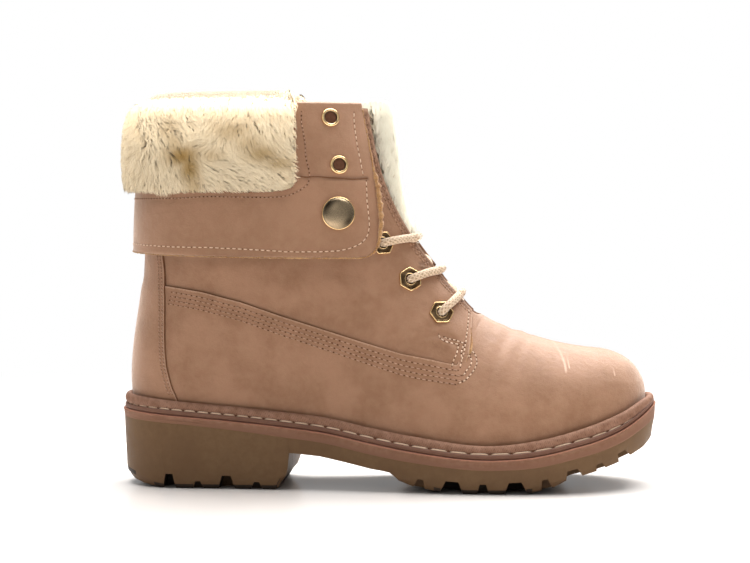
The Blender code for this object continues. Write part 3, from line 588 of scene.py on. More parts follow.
leatherLook = {
    "base": (0.244, 0.120, 0.062),
    "second": (0.318, 0.166, 0.095),
    "third": (0.330, 0.192, 0.112),
    "dark": (0.115, 0.049, 0.022),
    "wornAndHighlight": (0.62, 0.42, 0.30),
    "wearAndHighlight": 0.35,
    "roughness": 0.62,
    "sheen": 0.55,
    "gloss": 0.30,
    "relief": 0.35,
    "patch": 55.0,
    "fleck": 300.0,
    "grain": 2400.0,
}
nubuck = leather("nubuck", leatherLook | {
    # crease lines, rubbed and with a painted highlight
    "scuffHighlightColour": (0.72, 0.50, 0.38),
    "scuffHighlightLines": [  # x, z, slope, bend, half length, width
        (229.4, 65.4, -0.44, -0.026, 8.5, 1.0), (232.4, 63.0, -0.22, 0.0, 3.6, 0.6),
        (255.9, 57.8, -0.2, 0.0, 2.2, 0.6)]})
cuffNubuck = leather("cuffNubuck", leatherLook | {"patch": 38.0, "base": (0.256, 0.130, 0.069)})
rawEdge = plainMix("rawEdge", {
    "base": (0.48, 0.225, 0.06), "second": (0.20, 0.085, 0.03), "third": (0.74, 0.46, 0.20),
    "roughness": 0.85, "fleck": 1500.0, "grain": 5200.0, "relief": 0.8, "sheen": 0.3})
# dark brown for the panels' rolled borders and the cuff seam: painted shade
cutEdge = plainMix("cutEdge", {
    "base": (0.135, 0.058, 0.028), "second": (0.19, 0.088, 0.042), "third": (0.11, 0.045, 0.022),
    "roughness": 0.8, "fleck": 900.0, "grain": 4200.0, "relief": 0.5, "gloss": 0.2})
tonalThread = plainMix("tonalThread", {
    "base": (0.34, 0.19, 0.115), "second": (0.46, 0.29, 0.195), "third": (0.28, 0.15, 0.09),
    "roughness": 0.55, "fleck": 900.0, "grain": 6000.0, "relief": 0.6})
paleThread = plainMix("paleThread", {
    "base": (0.66, 0.47, 0.33), "second": (0.80, 0.62, 0.47), "third": (0.54, 0.36, 0.24),
    "roughness": 0.5, "fleck": 900.0, "grain": 6000.0, "relief": 0.6})
# dark discs that stand for needle holes and eyelet holes: painted shade for their dark insides
needleHole = plainMix("needleHole", {
    "base": (0.085, 0.036, 0.020), "second": (0.13, 0.058, 0.033), "third": (0.10, 0.042, 0.024),
    "roughness": 0.9, "fleck": 700.0, "grain": 3000.0, "relief": 0.3, "gloss": 0.1})
print("leather and thread materials made")


# upper: a wall with fur inside, and four leather panels over it

seams = {
    "overlay": [(16, 102.4), (28.1, 101.2), (36, 100.2), (45.8, 98.7), (66.2, 93.7), (86.6, 86.7),
                (106.9, 80.2), (127.2, 73.7), (147.5, 67.7), (162.6, 64.8), (175.2, 62.2), (181.8, 61.8),
                (200, 61.8)],
    "backStay": [(37, 20), (33.4, 40), (29.0, 50.2), (26.5, 60), (25.6, 69), (25.3, 78.7), (25.1, 94.2),
                 (24.3, 109.7), (23.3, 118), (22.5, 140)],
    "front": [(178.4, 50), (179.6, 62), (181.6, 67), (182.1, 73), (182.5, 79), (182.8, 86), (182.2, 92),
              (186, 100), (188, 130)],
}
upperLook = {
    "uneven": (17.0, 0.22),  # size and height of the leather's soft waves
    "wornBorder": 1.6,
    "wallSink": 1.4,  # how far the wall lies below the panels
}
edgeProfile = [(0.12, -0.03), (0.30, -0.16), (0.40, -0.42), (0.38, -1.1), (0.2, -1.5)]  # outwards, upwards


def overlayHeight(x):
    return lookUp(seams["overlay"], x)


def stayFront(z):
    return lookUp(seams["backStay"], z, 1, 0)


def quarterFront(z):
    return lookUp(seams["front"], z, 1, 0)


def makeSkin():
    # the upper's outer face, dense and smooth, with the fan of faces at the toe eased out
    bm = refined(sheetFrom(mergedCopy("upper"), place((60, -40, 80)), 50), 3)
    pole = Vector(place((246, 4, 69.4)))
    near = [v for v in bm.verts if (v.co - pole).length < 0.030 and not v.is_boundary]
    for _ in range(30):
        bmesh.ops.smooth_vert(bm, verts=near, factor=0.5, use_axis_x=True, use_axis_y=True, use_axis_z=True)
    bm.normal_update()
    return bm


skin = makeSkin()
skinTree = BVHTree.FromBMesh(skin)
print("upper's base surface made,", len(skin.faces), "faces")

creases = [  # middle x, middle z, half length, direction in degrees from level, half width, depth
    (199, 71, 20, 62, 3.4, 0.55),
    (207, 66, 16, 70, 3.0, 0.35),
    (132, 104, 26, -22, 5.0, 0.45),
    (96, 110, 24, 8, 5.5, 0.35),
    (60, 104, 20, 14, 6.0, 0.30),
    (150, 84, 22, -34, 6.5, 0.40),
    (112, 93, 20, -20, 7.5, 0.35),
    (45, 74, 18, 80, 7.0, 0.30),
    (170, 76, 8, -25, 1.9, 0.75),
    (163, 78, 8, -75, 2.6, 0.35),
]
puffs = [  # x, z, half length, half width, direction, how far the padding stands out
    (174.5, 80.0, 6.5, 5.0, -60, 1.0), (171.0, 71.0, 6.0, 3.0, -30, 0.6), (150.0, 113.0, 8.0, 4.0, -52, 0.7),
    (166.0, 96.5, 8.0, 4.0, -50, 0.7), (160.0, 102.0, 3.0, 2.5, -50, 0.3)]


def turned(co, x, z, degrees):
    # distances along and across a line through x, z, as seen from the side
    turn = math.radians(degrees)
    dx, dz = co[:, 0] - x, co[:, 2] - z
    return dx * math.cos(turn) + dz * math.sin(turn), dz * math.cos(turn) - dx * math.sin(turn)


def bell(distance, width):
    return np.exp(-((distance / width) ** 2))


def creaseDepth(co):
    # soft bent troughs with a low ridge on each side, and places where the padding stands out
    total = np.zeros(len(co))
    for x, z, half, turn, width, depth in creases:
        along, across = turned(co, x, z, turn)
        across = across + 3.0 * (along / half) ** 2
        reach = np.exp(-((along / half) ** 4))
        total += depth * reach * (1.3 * bell(across, 1.9 * width) - 1.9 * bell(across, width))
    for x, z, half, width, turn, out in puffs:
        along, across = turned(co, x, z, turn)
        total += out * bell(along, half) * bell(across, width)
    return total


def softUneven(co, size, amount):
    # gentle, even unevenness of hand-lasted leather
    p = co / size
    wave = np.sin(p[:, 0] * 1.3 + 2.1 * np.sin(p[:, 2] * 0.9 + 0.4) + p[:, 1] * 0.7)
    wave += np.sin(p[:, 2] * 1.7 + 1.6 * np.sin(p[:, 0] * 0.8 + 1.9) - p[:, 1] * 0.5)
    return 0.5 * amount * wave


def moveOut(bm, amount):
    # moves every vertex along its normal, by millimetres
    bm.normal_update()
    normals = np.array([v.normal for v in bm.verts])
    moved = coordinates(bm) + normals * np.asarray(amount)[:, None] * mm
    for v, co in zip(bm.verts, moved):
        v.co = co


def nearEdge(bm, reach):
    # 1 on the panel's border, falling to 0 at reach millimetres from it
    tree = pointTree([v.co for v in bm.verts if v.is_boundary])
    distance = np.array([tree.find(v.co)[2] for v in bm.verts]) / mm
    return np.clip(1 - distance / reach, 0, 1)


def skirt(bm):
    # rolls the border over its edge by the steps of edgeProfile, in millimetres
    bm.normal_update()
    sides = [s for s in bm.edges if len(s.link_faces) == 1]
    outward, up = {}, {}
    for s in sides:
        face = s.link_faces[0]
        a, b = s.verts
        out = (b.co - a.co).normalized().cross(face.normal)
        if out.dot(a.co - face.calc_center_median()) < 0:
            out.negate()
        for v in s.verts:
            outward[v] = outward.get(v, Vector()) + out
            up[v] = v.normal.copy()
    start = {v: v.co.copy() for v in outward}
    origin = {v: v for v in outward}
    for out, lift in edgeProfile:
        made = bmesh.ops.extrude_edge_only(bm, edges=sides)["geom"]
        fresh = {g for g in made if isinstance(g, bmesh.types.BMVert)}
        sides = [g for g in made if isinstance(g, bmesh.types.BMEdge) and fresh.issuperset(g.verts)]
        renewed = {}
        for v in fresh:
            joined = (side.other_vert(v) for side in v.link_edges)
            first = origin[next(old for old in joined if old in origin and old not in fresh)]
            renewed[v] = first
            v.co = start[first] + (outward[first].normalized() * out + up[first] * lift) * mm
        origin |= renewed
        # the rolled border is painted dark brown for shade
        for g in made:
            if isinstance(g, bmesh.types.BMFace):
                g.material_index = 1
                g.smooth = True


def setShade(bm, name, values):
    layer = bm.verts.layers.float.get(name) or bm.verts.layers.float.new(name)
    for v, value in zip(bm.verts, values):
        v[layer] = float(value)


trees, facingPaths, frontPaths = {}, {}, {}  # "unrolled" is the quarters without their rolled border


def facingShade(co):
    # the facings' turned edge, darker than the leather behind it
    near = np.full(len(co), 99.0)
    for path in facingPaths.values():
        for spot in inBoot(path)[::2]:
            gap = np.abs(co - spot)
            near = np.minimum(near, gap.max(1) + 0.4 * gap.min(1))
    return 0.75 * blendStep(2.7, 1.5, near) * blendStep(85, 91, co[:, 2])


def makePanel(name, field, lift):
    bm = cutAlong(skin.copy(), field)
    co = inBoot(coordinates(bm))
    moveOut(bm, lift(co) + creaseDepth(co) + softUneven(co, *upperLook["uneven"]))
    shade = np.zeros(len(co))
    if name == "quarters":
        for side, _ in bothSides:
            facingPaths[side] = edgePath(
                bm, lambda p: p[1] * side > 0 and p[0] > 110 and 89 < p[2] < 191.8)
            frontPaths[side] = edgePath(
                bm, lambda p: p[1] * side > 0 and p[0] > 179 and 62.4 < p[2] < 89)
        trees["unrolled"] = BVHTree.FromBMesh(bm)
        shade = facingShade(co)
    setShade(bm, "edge", nearEdge(bm, upperLook["wornBorder"]))
    setShade(bm, "shade", shade)
    skirt(bm)
    # the quarters' front end is left raw
    for face in bm.faces:
        x, _, z = inBoot(face.calc_center_median())
        if face.material_index == 1 and name == "quarters" and x > 170 and z < 78:
            face.material_index = 2
    return bm


def vampField(co):
    x, z = co[:, 0], co[:, 2]
    return np.minimum(np.maximum((overlayHeight(x) - z) * 0.95, x - 176.5), x - stayFront(z) + 5)


def quarterField(co):
    x, z = co[:, 0], co[:, 2]
    return np.minimum.reduce([z - overlayHeight(x) + 4, quarterFront(z) - x, x - stayFront(z) + 5])


def stayField(co):
    return np.minimum(stayFront(co[:, 2]) - co[:, 0], 140 - co[:, 2])


def quarterLift(co):
    x, z = co[:, 0], co[:, 2]
    under = np.maximum(1 - blendStep(3, 16, z - overlayHeight(x)), 1 - blendStep(6, 22, x - stayFront(z)))
    front = blendStep(164, 175, x) * blendStep(60, 67, z) * (1 - blendStep(96, 106, z))
    return -0.95 * under * (1 - front) + 0.75 * front


def stayLift(co):
    return 0.1 + 0.75 * (1 - blendStep(98, 106, co[:, 2]))


panels = {  # where each one lies, and how far it is lifted off the surface below
    "vamp": (vampField, lambda co: 0),
    "quarters": (quarterField, quarterLift),
    "backStay": (stayField, stayLift),
}


def makeUpper():
    for name, (field, lift) in panels.items():
        panel = makePanel(name, field, lift)
        trees[name] = BVHTree.FromBMesh(panel)
        addPiece(name, panel, [nubuck, cutEdge, rawEdge])


def makeWall():
    # the wall inside the panels: leather rims, fur on the inside
    bm = refined(mergedCopy("upper"), 2, creaseAngle=50)
    bm.normal_update()
    sink, lined = [], {}
    for v in bm.verts:
        _, normal, _, distance = skinTree.find_nearest(v.co)
        outer = distance < 0.6 * mm and v.normal.dot(normal) > 0.5
        sink.append(-upperLook["wallSink"] if outer else 0.0)
        lined[v] = distance > 1.9 * mm
    moveOut(bm, sink)
    for face in bm.faces:
        face.material_index = int(all(lined[v] for v in face.verts))
        face.smooth = True
    addPiece("wall", bm, [nubuck, furBase], ["upper"])


furBase = plainMix("furBase", {
    "base": (0.78, 0.62, 0.42), "second": (0.86, 0.72, 0.52), "third": (0.68, 0.50, 0.30),
    "roughness": 0.95, "fleck": 500.0, "grain": 1400.0, "relief": 1.0, "depth": 0.0012, "gloss": 0.1,
    "sheen": 0.4})
makeUpper()
makeWall()
print("upper made")


# stitching

def meshFromArrays(name, verts, faces):
    # one mesh from an array of points and arrays of equal-sided faces
    mesh = bpy.data.meshes.new(name)
    mesh.vertices.add(len(verts))
    mesh.vertices.foreach_set("co", np.asarray(verts, np.float32).ravel())
    loops = np.concatenate([f.ravel() for f in faces])
    sizes = np.concatenate([np.full(len(f), f.shape[1]) for f in faces])
    mesh.loops.add(len(loops))
    mesh.loops.foreach_set("vertex_index", loops.astype(np.int32))
    mesh.polygons.add(len(sizes))
    mesh.polygons.foreach_set("loop_start", np.concatenate([[0], np.cumsum(sizes)[:-1]]).astype(np.int32))
    mesh.polygons.foreach_set("loop_total", sizes.astype(np.int32))
    mesh.update(calc_edges=True)
    return mesh


def template(bm):
    # points and faces of a small shape that is about to be repeated
    bm.verts.index_update()
    points = np.array([v.co for v in bm.verts])
    bySize = {}
    for face in bm.faces:
        bySize.setdefault(len(face.verts), []).append([v.index for v in face.verts])
    bm.free()
    return points, [np.array(bySize[size]) for size in sorted(bySize)]


def repeated(shape, origin, along, normal, scale):
    # the shape once at every origin, its x along the row and its z out of the surface
    points, faces = shape
    along, normal = unit(along), unit(normal)
    across = unit(np.cross(normal, along))
    normal = np.cross(along, across)
    scale = np.broadcast_to(np.asarray(scale, float) * mm, (len(origin), 3))
    local = points[None, :, :] * scale[:, None, :]
    verts = origin[:, None, :] + (local[..., :1] * along[:, None, :] + local[..., 1:2] * across[:, None, :]
                                  + local[..., 2:] * normal[:, None, :])
    shift = np.arange(len(origin))[:, None, None] * len(points)
    return verts.reshape(-1, 3), [(f[None] + shift).reshape(-1, f.shape[1]) for f in faces]


def joinedMesh(name, parts):
    verts, groups, start = [], {}, 0
    for points, faces in parts:
        verts.append(points)
        for f in faces:
            groups.setdefault(f.shape[1], []).append(f + start)
        start += len(points)
    return meshFromArrays(name, np.concatenate(verts), [np.concatenate(g) for g in groups.values()])


def alongX(bm):
    # turns a shape that was made along z
    bmesh.ops.rotate(bm, verts=bm.verts, cent=(0, 0, 0), matrix=Matrix.Rotation(math.pi / 2, 3, "Y"))


def threadShape():
    # a short bent thread, fuller in the middle, that dips into its holes
    bm = bmesh.new()
    bmesh.ops.create_uvsphere(bm, u_segments=6, v_segments=5, radius=1.0)
    alongX(bm)
    for v in bm.verts:
        v.co.x = math.copysign(abs(v.co.x) ** 0.75, v.co.x)
        v.co.z -= 0.55 * abs(v.co.x) ** 3
    return template(bm)


def holeShape():
    bm = bmesh.new()
    bmesh.ops.create_circle(bm, cap_ends=True, segments=7, radius=1.0)
    return template(bm)


thread, hole = threadShape(), holeShape()


def onSide(tree, points, side):
    # places on a surface for points seen from the side as (x, z)
    found = []
    for x, z in points:
        co = tree.ray_cast(Vector(place((x, side * 200.0, z))), Vector((0, -side, 0)))[0]
        if co is None:
            co = tree.find_nearest(Vector(place((x, side * 35.0, z))))[0]
        found.append(co)
    return np.array(found)


def seated(tree, points):
    # the nearest places on a surface, and its normals there
    found = [tree.find_nearest(Vector(co)) for co in points]
    return [np.array([hit[k] for hit in found]) for k in (0, 1)]


def insetPath(path, tree, inset, towards):
    # a line on a panel at an even distance in from its border
    moved = []
    for co, ahead, away in zip(path, unit(np.gradient(path, axis=0)), seated(tree, path)[1]):
        inward = np.cross(away, ahead)
        if inward @ (towards - co) < 0:
            inward = -inward
        moved.append(co + unit(inward) * inset * mm)
    return seated(tree, moved)[0]


def stitchRow(path, tree, look, rows):
    # threads and needle holes along a line that lies on a surface
    points = resampled(path, look["pitch"] * mm)
    along = np.diff(points, axis=0)
    centre, normal = seated(tree, (points[1:] + points[:-1]) / 2)
    drift = dice.normal(0, 0.06, (len(centre), 1)) * mm * np.cross(unit(along), normal)
    length = np.linalg.norm(along, axis=1) / mm * look["share"] / 2 * dice.uniform(0.92, 1.06, len(along))
    scale = columns(length, look["width"] / 2, look["height"])
    slant = along + np.cross(normal, along) * look.get("slant", 0.0)
    rows["thread"].append(repeated(thread, centre + drift + normal * look["lift"] * mm, slant, normal, scale))
    centre, normal = seated(tree, points)
    size = np.array([look["hole"] * 1.25, look["hole"], 1.0]) * dice.uniform(0.75, 1.2, (len(centre), 1))
    spots = centre + normal * 0.07 * mm
    rows["hole"].append(repeated(hole, spots, np.gradient(points, axis=0), normal, size))


# share is how much of each pitch the thread covers, and slant how far threads turn across the row
stitchLooks = {
    "overlay": {"pitch": 2.95, "share": 0.62, "width": 0.62, "height": 0.34, "lift": 0.05, "hole": 0.37},
    "stay": {"pitch": 1.9, "share": 0.8, "width": 0.62, "height": 0.40, "lift": 0.10, "hole": 0.22,
             "slant": 0.55},
    "facing": {"pitch": 2.5, "share": 0.66, "width": 0.55, "height": 0.36, "lift": 0.07, "hole": 0.24},
    "front": {"pitch": 2.4, "share": 0.66, "width": 0.66, "height": 0.38, "lift": 0.06, "hole": 0.34},
}


def gridOf(rows, finish=None):
    # a bmesh grid laid on rows of points; finish gives the material of each band between two rows
    bands = len(rows) - 1
    bm = bmesh.new()
    bmesh.ops.create_grid(bm, x_segments=bands, y_segments=len(rows[0]) - 1, size=1.0)
    for face in bm.faces:
        face.smooth = True
        if finish:
            face.material_index = finish[int((face.calc_center_median().x + 1) / 2 * bands)]
    grid = sorted(bm.verts, key=lambda v: (round(v.co.x, 6), round(v.co.y, 6)))
    for v, co in zip(grid, np.concatenate(rows)):
        v.co = co
    return bm, grid


def tubeAlong(points, radius, around=8):
    # a tube with a width at every point of a line, and where each of its corners lies along and round it
    radius = np.broadcast_to(radius, (len(points),))
    along = unit(np.gradient(points, axis=0))
    across = np.cross(along[0], (0.0, 0.0, 1.0))
    if np.linalg.norm(across) < 0.2:
        across = np.cross(along[0], (0.0, 1.0, 0.0))
    turns = [2 * math.pi * j / around for j in range(around + 1)]
    rows = []
    for centre, ahead, r in zip(points, along, radius):
        across = unit(across - ahead * (across @ ahead))
        other = np.cross(ahead, across)
        rows.append([centre + (across * math.cos(turn) + other * math.sin(turn)) * r for turn in turns])
    bm, grid = gridOf(rows)
    spots = [(length, j / around) for length in runLength(points) for j in range(around + 1)]
    return bm, dict(zip(grid, spots))


def closeTube(bm):
    bmesh.ops.remove_doubles(bm, verts=bm.verts, dist=1e-6)
    bmesh.ops.holes_fill(bm, edges=[s for s in bm.edges if len(s.link_faces) == 1], sides=0)
    bmesh.ops.recalc_face_normals(bm, faces=bm.faces)
    return bm


def roughBead(name, path, width, around, noise):
    # an uneven bead of raw leather along a line
    bm = closeTube(tubeAlong(path, width * mm, around)[0])
    for v in bm.verts:
        v.co += Vector(dice.normal(0, noise, 3)) * mm
    addPiece(name, bm, [rawEdge])


def newRows():
    return {"thread": [], "hole": []}


def addRows(name, rows, material):
    addPiece(name + "Threads", joinedMesh(name + "Threads", rows["thread"]), [material])
    holes = joinedMesh(name + "Holes", rows["hole"])
    addPiece(name + "Holes", holes, [needleHole], smooth=False)


rowDrops = [  # x, then how far each of the four rows lies below the overlay seam
    (29, 2.6, 4.8, 6.9, 8.9), (60, 2.8, 5.0, 7.1, 9.2), (97, 2.9, 5.2, 7.4, 9.6), (137, 3.0, 5.5, 7.9, 10.2),
    (158, 3.1, 5.6, 8.2, 10.6), (171, 2.9, 5.6, 7.6, 9.9), (179, 2.5, 5.0, 7.6, 9.4),
]
rowEnds = [(29, 176.6), (28.4, 178.2), (27.9, 178.6), (27.4, 175.2)]
insets = {"stay": (1.3, 3.0), "facing": (1.9, 3.7), "front": 2.4}  # how far rows lie in from a border
barTack = {
    "outer": [(166.4, 77.6), (167.4, 75.4), (171.5, 73.4), (175.3, 72.6), (176.9, 72.3)],
    "inner": [(169.1, 76.1), (172.6, 74.9), (175.6, 74.3), (177.8, 73.4), (179.4, 73.0)],
    "backPost": [(176.5, 71.9), (175.9, 68.4), (174.2, 64.6), (173.4, 61.4)],
    "frontPost": [(179.0, 71.9), (178.0, 67.6), (178.2, 63.6), (177.6, 61.0)],
    "loop": [(183.2, 69.2), (185.4, 66.5), (186.0, 63.4), (185.2, 60.6), (182.7, 57.3), (180.2, 54.6),
             (176.6, 53.0)],
    "loopInside": [(181.4, 67.2), (183.3, 64.9), (183.0, 62.4), (181.2, 59.8), (179.0, 57.0)],
}


rawTip = {
    "line": [(182.6, 80.5), (182.9, 77.0), (183.1, 73.5), (182.9, 70.5), (182.3, 67.2)],
    "width": ([0, 0.3, 0.6, 0.85, 1], [0.15, 0.4, 0.85, 1.0, 0.3]),
}


def outerTree():
    # the three panels as one surface, for rows that pass from one to the next
    verts, faces, start = [], [], 0
    for name in panels:
        mesh = bpy.data.objects[name].data
        verts += [v.co.copy() for v in mesh.vertices]
        faces += [[start + i for i in face.vertices] for face in mesh.polygons]
        start += len(mesh.vertices)
    return BVHTree.FromPolygons(verts, faces)


def stitchUpper():
    tonal, light = newRows(), newRows()
    vamp, quarters, stay, outer = (trees[name] for name in ("vamp", "quarters", "backStay", "all"))
    for side, _ in bothSides:
        for row, ends in enumerate(rowEnds, 1):
            xs = np.linspace(*ends, 60)
            zs = overlayHeight(xs) - lookUp(rowDrops, xs, 0, row)
            stitchRow(onSide(vamp, zip(xs, zs), side), vamp, stitchLooks["overlay"], tonal)
        zs = np.linspace(46, 121, 40)
        for inset in insets["stay"]:
            stitchRow(onSide(stay, zip(stayFront(zs) - inset, zs), side), stay, stitchLooks["stay"], tonal)
        for inset in insets["facing"]:
            line = insetPath(facingPaths[side], trees["unrolled"], inset, place((110, side * 42, 95)))
            stitchRow(smoothRun(line), quarters, stitchLooks["facing"], tonal)
        line = insetPath(frontPaths[side], trees["unrolled"], insets["front"], place((110, side * 42, 75)))
        stitchRow(smoothRun(line), quarters, stitchLooks["front"], light)
        for run in barTack.values():
            stitchRow(onSide(outer, smoothLine(run, 30), side), outer, stitchLooks["front"], light)
    addRows("upperTonal", tonal, tonalThread)
    addRows("upperLight", light, paleThread)
    # the raw tip of the quarter, where it meets the vamp
    for side, word in bothSides:
        tip = onSide(outer, smoothLine(rawTip["line"], 40), side)
        width = np.interp(np.linspace(0, 1, len(tip)), *rawTip["width"])
        roughBead("quarterTip" + word, tip, width, 8, 0.07)


trees["all"] = outerTree()
stitchUpper()
print("upper stitched")


# fold-down cuff: leather band and facing strips, with raw edges

cuffLook = {
    "frontRow": [(123.2, 190.5), (123.4, 185.7), (124.9, 175.8), (126.8, 166.6), (128.4, 158.4)],
    "flapRow": [(130.0, 155.6), (130.7, 144.3), (131.6, 135.8), (131.6, 130.5), (129.6, 125.9),
                (124.9, 122.6), (117.9, 120.6), (106.3, 119.9), (90.8, 120.0), (66.3, 121.3), (47.8, 121.9),
                (29.3, 122.2), (10.6, 123.0)],
    "stripRow": [(97.5, 190.5), (97.5, 185.8), (99.3, 175.8), (100.0, 167.3), (101.7, 159.7), (101.0, 154.0),
                 (96.0, 150.2), (90.9, 148.1), (84.7, 147.4), (66.3, 147.4), (47.9, 147.6), (38.6, 147.0),
                 (23.2, 146.6), (10.6, 146.4)],
    "seam": [(96.6, 157.9), (100, 157.4), (104.8, 157.7), (111, 157.3), (117.9, 156.8), (124, 156.4),
             (130.6, 156.9)],
    "foldHeight": 0.1900,  # above this the leather turns over the top
    "frontEdge": [(200, 127.5), (195.3, 128.0), (189, 129.0), (182.6, 130.2), (174, 131.8), (166.5, 133.2),
                  (160, 134.0), (155, 135.4), (143.5, 137.0), (132, 138.0), (100, 138.8)],  # z, then x
    "rawWidth": [(192, 0.30), (176, 0.42), (162, 0.6), (157, 1.25), (148, 1.4), (138, 1.3), (128, 1.0),
                 (121, 0.6), (117, 0.32)],  # z, then half the width of the raw edge
    "rowDip": (0.28, 1.5),  # depth and width of the trough under a row of stitches
    "seamDip": (0.5, 0.9),
    "seamShade": (0.8, 0.7),
    "seamRadius": 0.30,
    "uneven": (13.0, 0.18),
    "wornBorder": 1.5,
    "fibreWidth": 0.08,
    "fibres": 1800,  # loose ones along each raw edge
}
stitchLooks |= {
    "cuff": {"pitch": 2.95, "share": 0.68, "width": 0.52, "height": 0.32, "lift": 0.06, "hole": 0.26},
    "strip": {"pitch": 2.1, "share": 0.6, "width": 0.6, "height": 0.38, "lift": 0.08, "hole": 0.34},
}
waves = [  # x, z, half length, half height, how far the leather stands out there
    (28, 135, 16, 30, 0.5), (62, 132, 20, 26, -0.6), (96, 138, 15, 26, 0.5), (123, 128, 8, 15, 0.5),
    (112, 172, 12, 10, 0.35), (128, 172, 5, 18, 0.4),
]


def troughs(co, runs, depth, width):
    # how far a surface dips along lines that are seen from the side
    total = np.zeros(len(co))
    for run in runs:
        tree = pointTree([(x, 0, z) for x, z in smoothLine(cuffLook[run], 90)])
        total -= depth * bell(np.array([tree.find((x, 0, z))[2] for x, _, z in co]), width)
    return total


def pullIn(bm):
    # eases the flap's front edge back to its line as seen from the side, and the leather behind it with it
    co = inBoot(coordinates(bm))
    camera = np.array(studio["cameraPlace"]) / mm + (heelBack, 0, 0)
    depth = (-45 - camera[1]) / (-np.abs(co[:, 1]) - camera[1])
    seen = camera[[0, 2]] + (co[:, [0, 2]] - camera[[0, 2]]) * depth[:, None]
    aim = lookUp(cuffLook["frontEdge"][::-1], seen[:, 1])
    # how far the border itself stands past its line at each height
    worst = {}
    for height, past in zip(seen[:, 1].round(), seen[:, 0] - aim):
        worst[height] = max(worst.get(height, -99.0), past)
    heights = np.array(sorted(worst))
    past = np.interp(seen[:, 1], heights, smoothRun([[worst[h]] for h in heights], 8)[:, 0])
    share = blendStep(40.0, 0.0, aim + past - seen[:, 0])
    co[:, 0] -= np.clip(past, -1.5, 8.0) * share**1.5 / depth
    for v, spot in zip(bm.verts, place(co)):
        v.co = spot


def makeCuff():
    bm = mergedCopy("cuff")
    outer, inner = (joinedFaces(bm, place((60, y, 135)), 50) for y in (-47, -42))
    for face in bm.faces:
        face.material_index = 0 if face in outer else 2 if face in inner else 1
    bm = refined(bm, 3, creaseAngle=50)
    pullIn(bm)
    bm.normal_update()
    co = inBoot(coordinates(bm))
    outside = np.array([all(f.material_index == 0 for f in v.link_faces) for v in bm.verts])
    away = sum(out * bell(co[:, 0] - x, w) * bell(co[:, 2] - z, h) for x, z, w, h, out in waves)
    away += troughs(co, ("flapRow", "stripRow", "frontRow"), *cuffLook["rowDip"])
    away += troughs(co, ("seam",), *cuffLook["seamDip"]) + softUneven(co, *cuffLook["uneven"])
    moveOut(bm, np.where(outside, away * blendStep(192, 186, co[:, 2]), 0.0))
    rims = [s for s in bm.edges if {f.material_index for f in s.link_faces} == {0, 1}]
    tree = pointTree([v.co for s in rims for v in s.verts])
    setShade(bm, "edge", [max(0.0, 1 - tree.find(v.co)[2] / mm / cuffLook["wornBorder"]) for v in bm.verts])
    setShade(bm, "shade", -troughs(co, ("seam",), *cuffLook["seamShade"]) * outside)
    for side, _ in bothSides:
        cuffEdges[side] = edgePath(bm, lambda p: p[1] * side > 0.5 and p[2] < 192.5, rims)
    for face in bm.faces:
        if face.calc_center_median().z > cuffLook["foldHeight"]:
            face.material_index = 0
    trees["cuff"] = BVHTree.FromBMesh(bm)
    addPiece("cuffLeather", bm, [cuffNubuck, rawEdge, nubuck], ["cuff"])


def makeRawEdges():
    # the frayed lining edge that shows past the leather, a bead with short fibres on it
    for side, word in bothSides:
        path = smoothRun(resampled(smoothRun(cuffEdges[side], 3), 0.7 * mm), 2)
        co = inBoot(path)
        width = lookUp(cuffLook["rawWidth"][::-1], co[:, 2]) * (0.55 + 0.45 * blendStep(60, 100, co[:, 0]))
        width *= 1 + 0.18 * np.sin(np.arange(len(co)) * 0.9) + dice.normal(0, 0.10, len(co))
        out = unit(path - place((70, 0, 170))) * (1, 0.25, 1)
        path = path + unit(out) * (0.55 * width[:, None]) * mm
        roughBead("cuffEdge" + word, path, np.maximum(width, 0.2), 9, 0.13)
        addFray("cuffFray" + word, path, width, out)


def fibreShape():
    bm = bmesh.new()
    bmesh.ops.create_cone(bm, cap_ends=True, segments=3, radius1=1.0, radius2=0.2, depth=2.0)
    alongX(bm)
    return template(bm)


def addFray(name, path, width, out):
    # short loose fibres along a raw edge
    count = cuffLook["fibres"]
    at = dice.integers(0, len(path) - 1, count)
    share = dice.random(count)[:, None]
    root = path[at] * (1 - share) + path[at + 1] * share
    half = 0.5 * (width[at] * dice.uniform(0.5, 1.25, count))
    aim = unit(unit(out[at]) + dice.normal(0, 0.55, (count, 3)))
    scale = columns(half, cuffLook["fibreWidth"], cuffLook["fibreWidth"])
    side = np.cross(aim, dice.normal(0, 1, (count, 3)))
    middle = root + aim * (half + 0.25 * width[at])[:, None] * mm
    addPiece(name, joinedMesh(name, [repeated(fibre, middle, aim, side, scale)]), [rawEdge])


def makeSeam():
    # a thin dark tube sunk where two pieces of leather meet: painted shade for the gap between them
    radius = cuffLook["seamRadius"] * mm
    parts = bmesh.new()
    for side, _ in bothSides:
        run = onSide(trees["cuff"], smoothLine(cuffLook["seam"], 60), side)
        line = smoothRun(resampled(run, 0.6 * mm), 2)
        radii = radius * dice.uniform(0.8, 1.2, len(line))
        radii[0] = radii[-1] = 0.3 * radius
        parts.from_mesh(meshOf("part", closeTube(tubeAlong(line, radii, 6)[0])))
    addPiece("cuffSeam", parts, [cutEdge])


cuffEdges = {}
fibre = fibreShape()
makeCuff()
makeRawEdges()


def roundHeel(near, far, tree):
    # joins a row on one side to the same row on the other, round the back
    ends = inBoot(np.array([near[-1], far[-1]]))
    hits = []
    for share in np.linspace(0, 1, 40)[1:-1]:
        _, y, z = ends[0] * (1 - share) + ends[1] * share
        hit = tree.ray_cast(Vector(place((-40, y, z))), Vector((1, 0, 0)))[0]
        if hit is not None:
            hits.append(hit)
    return np.concatenate([near, np.array(hits), far[::-1]])


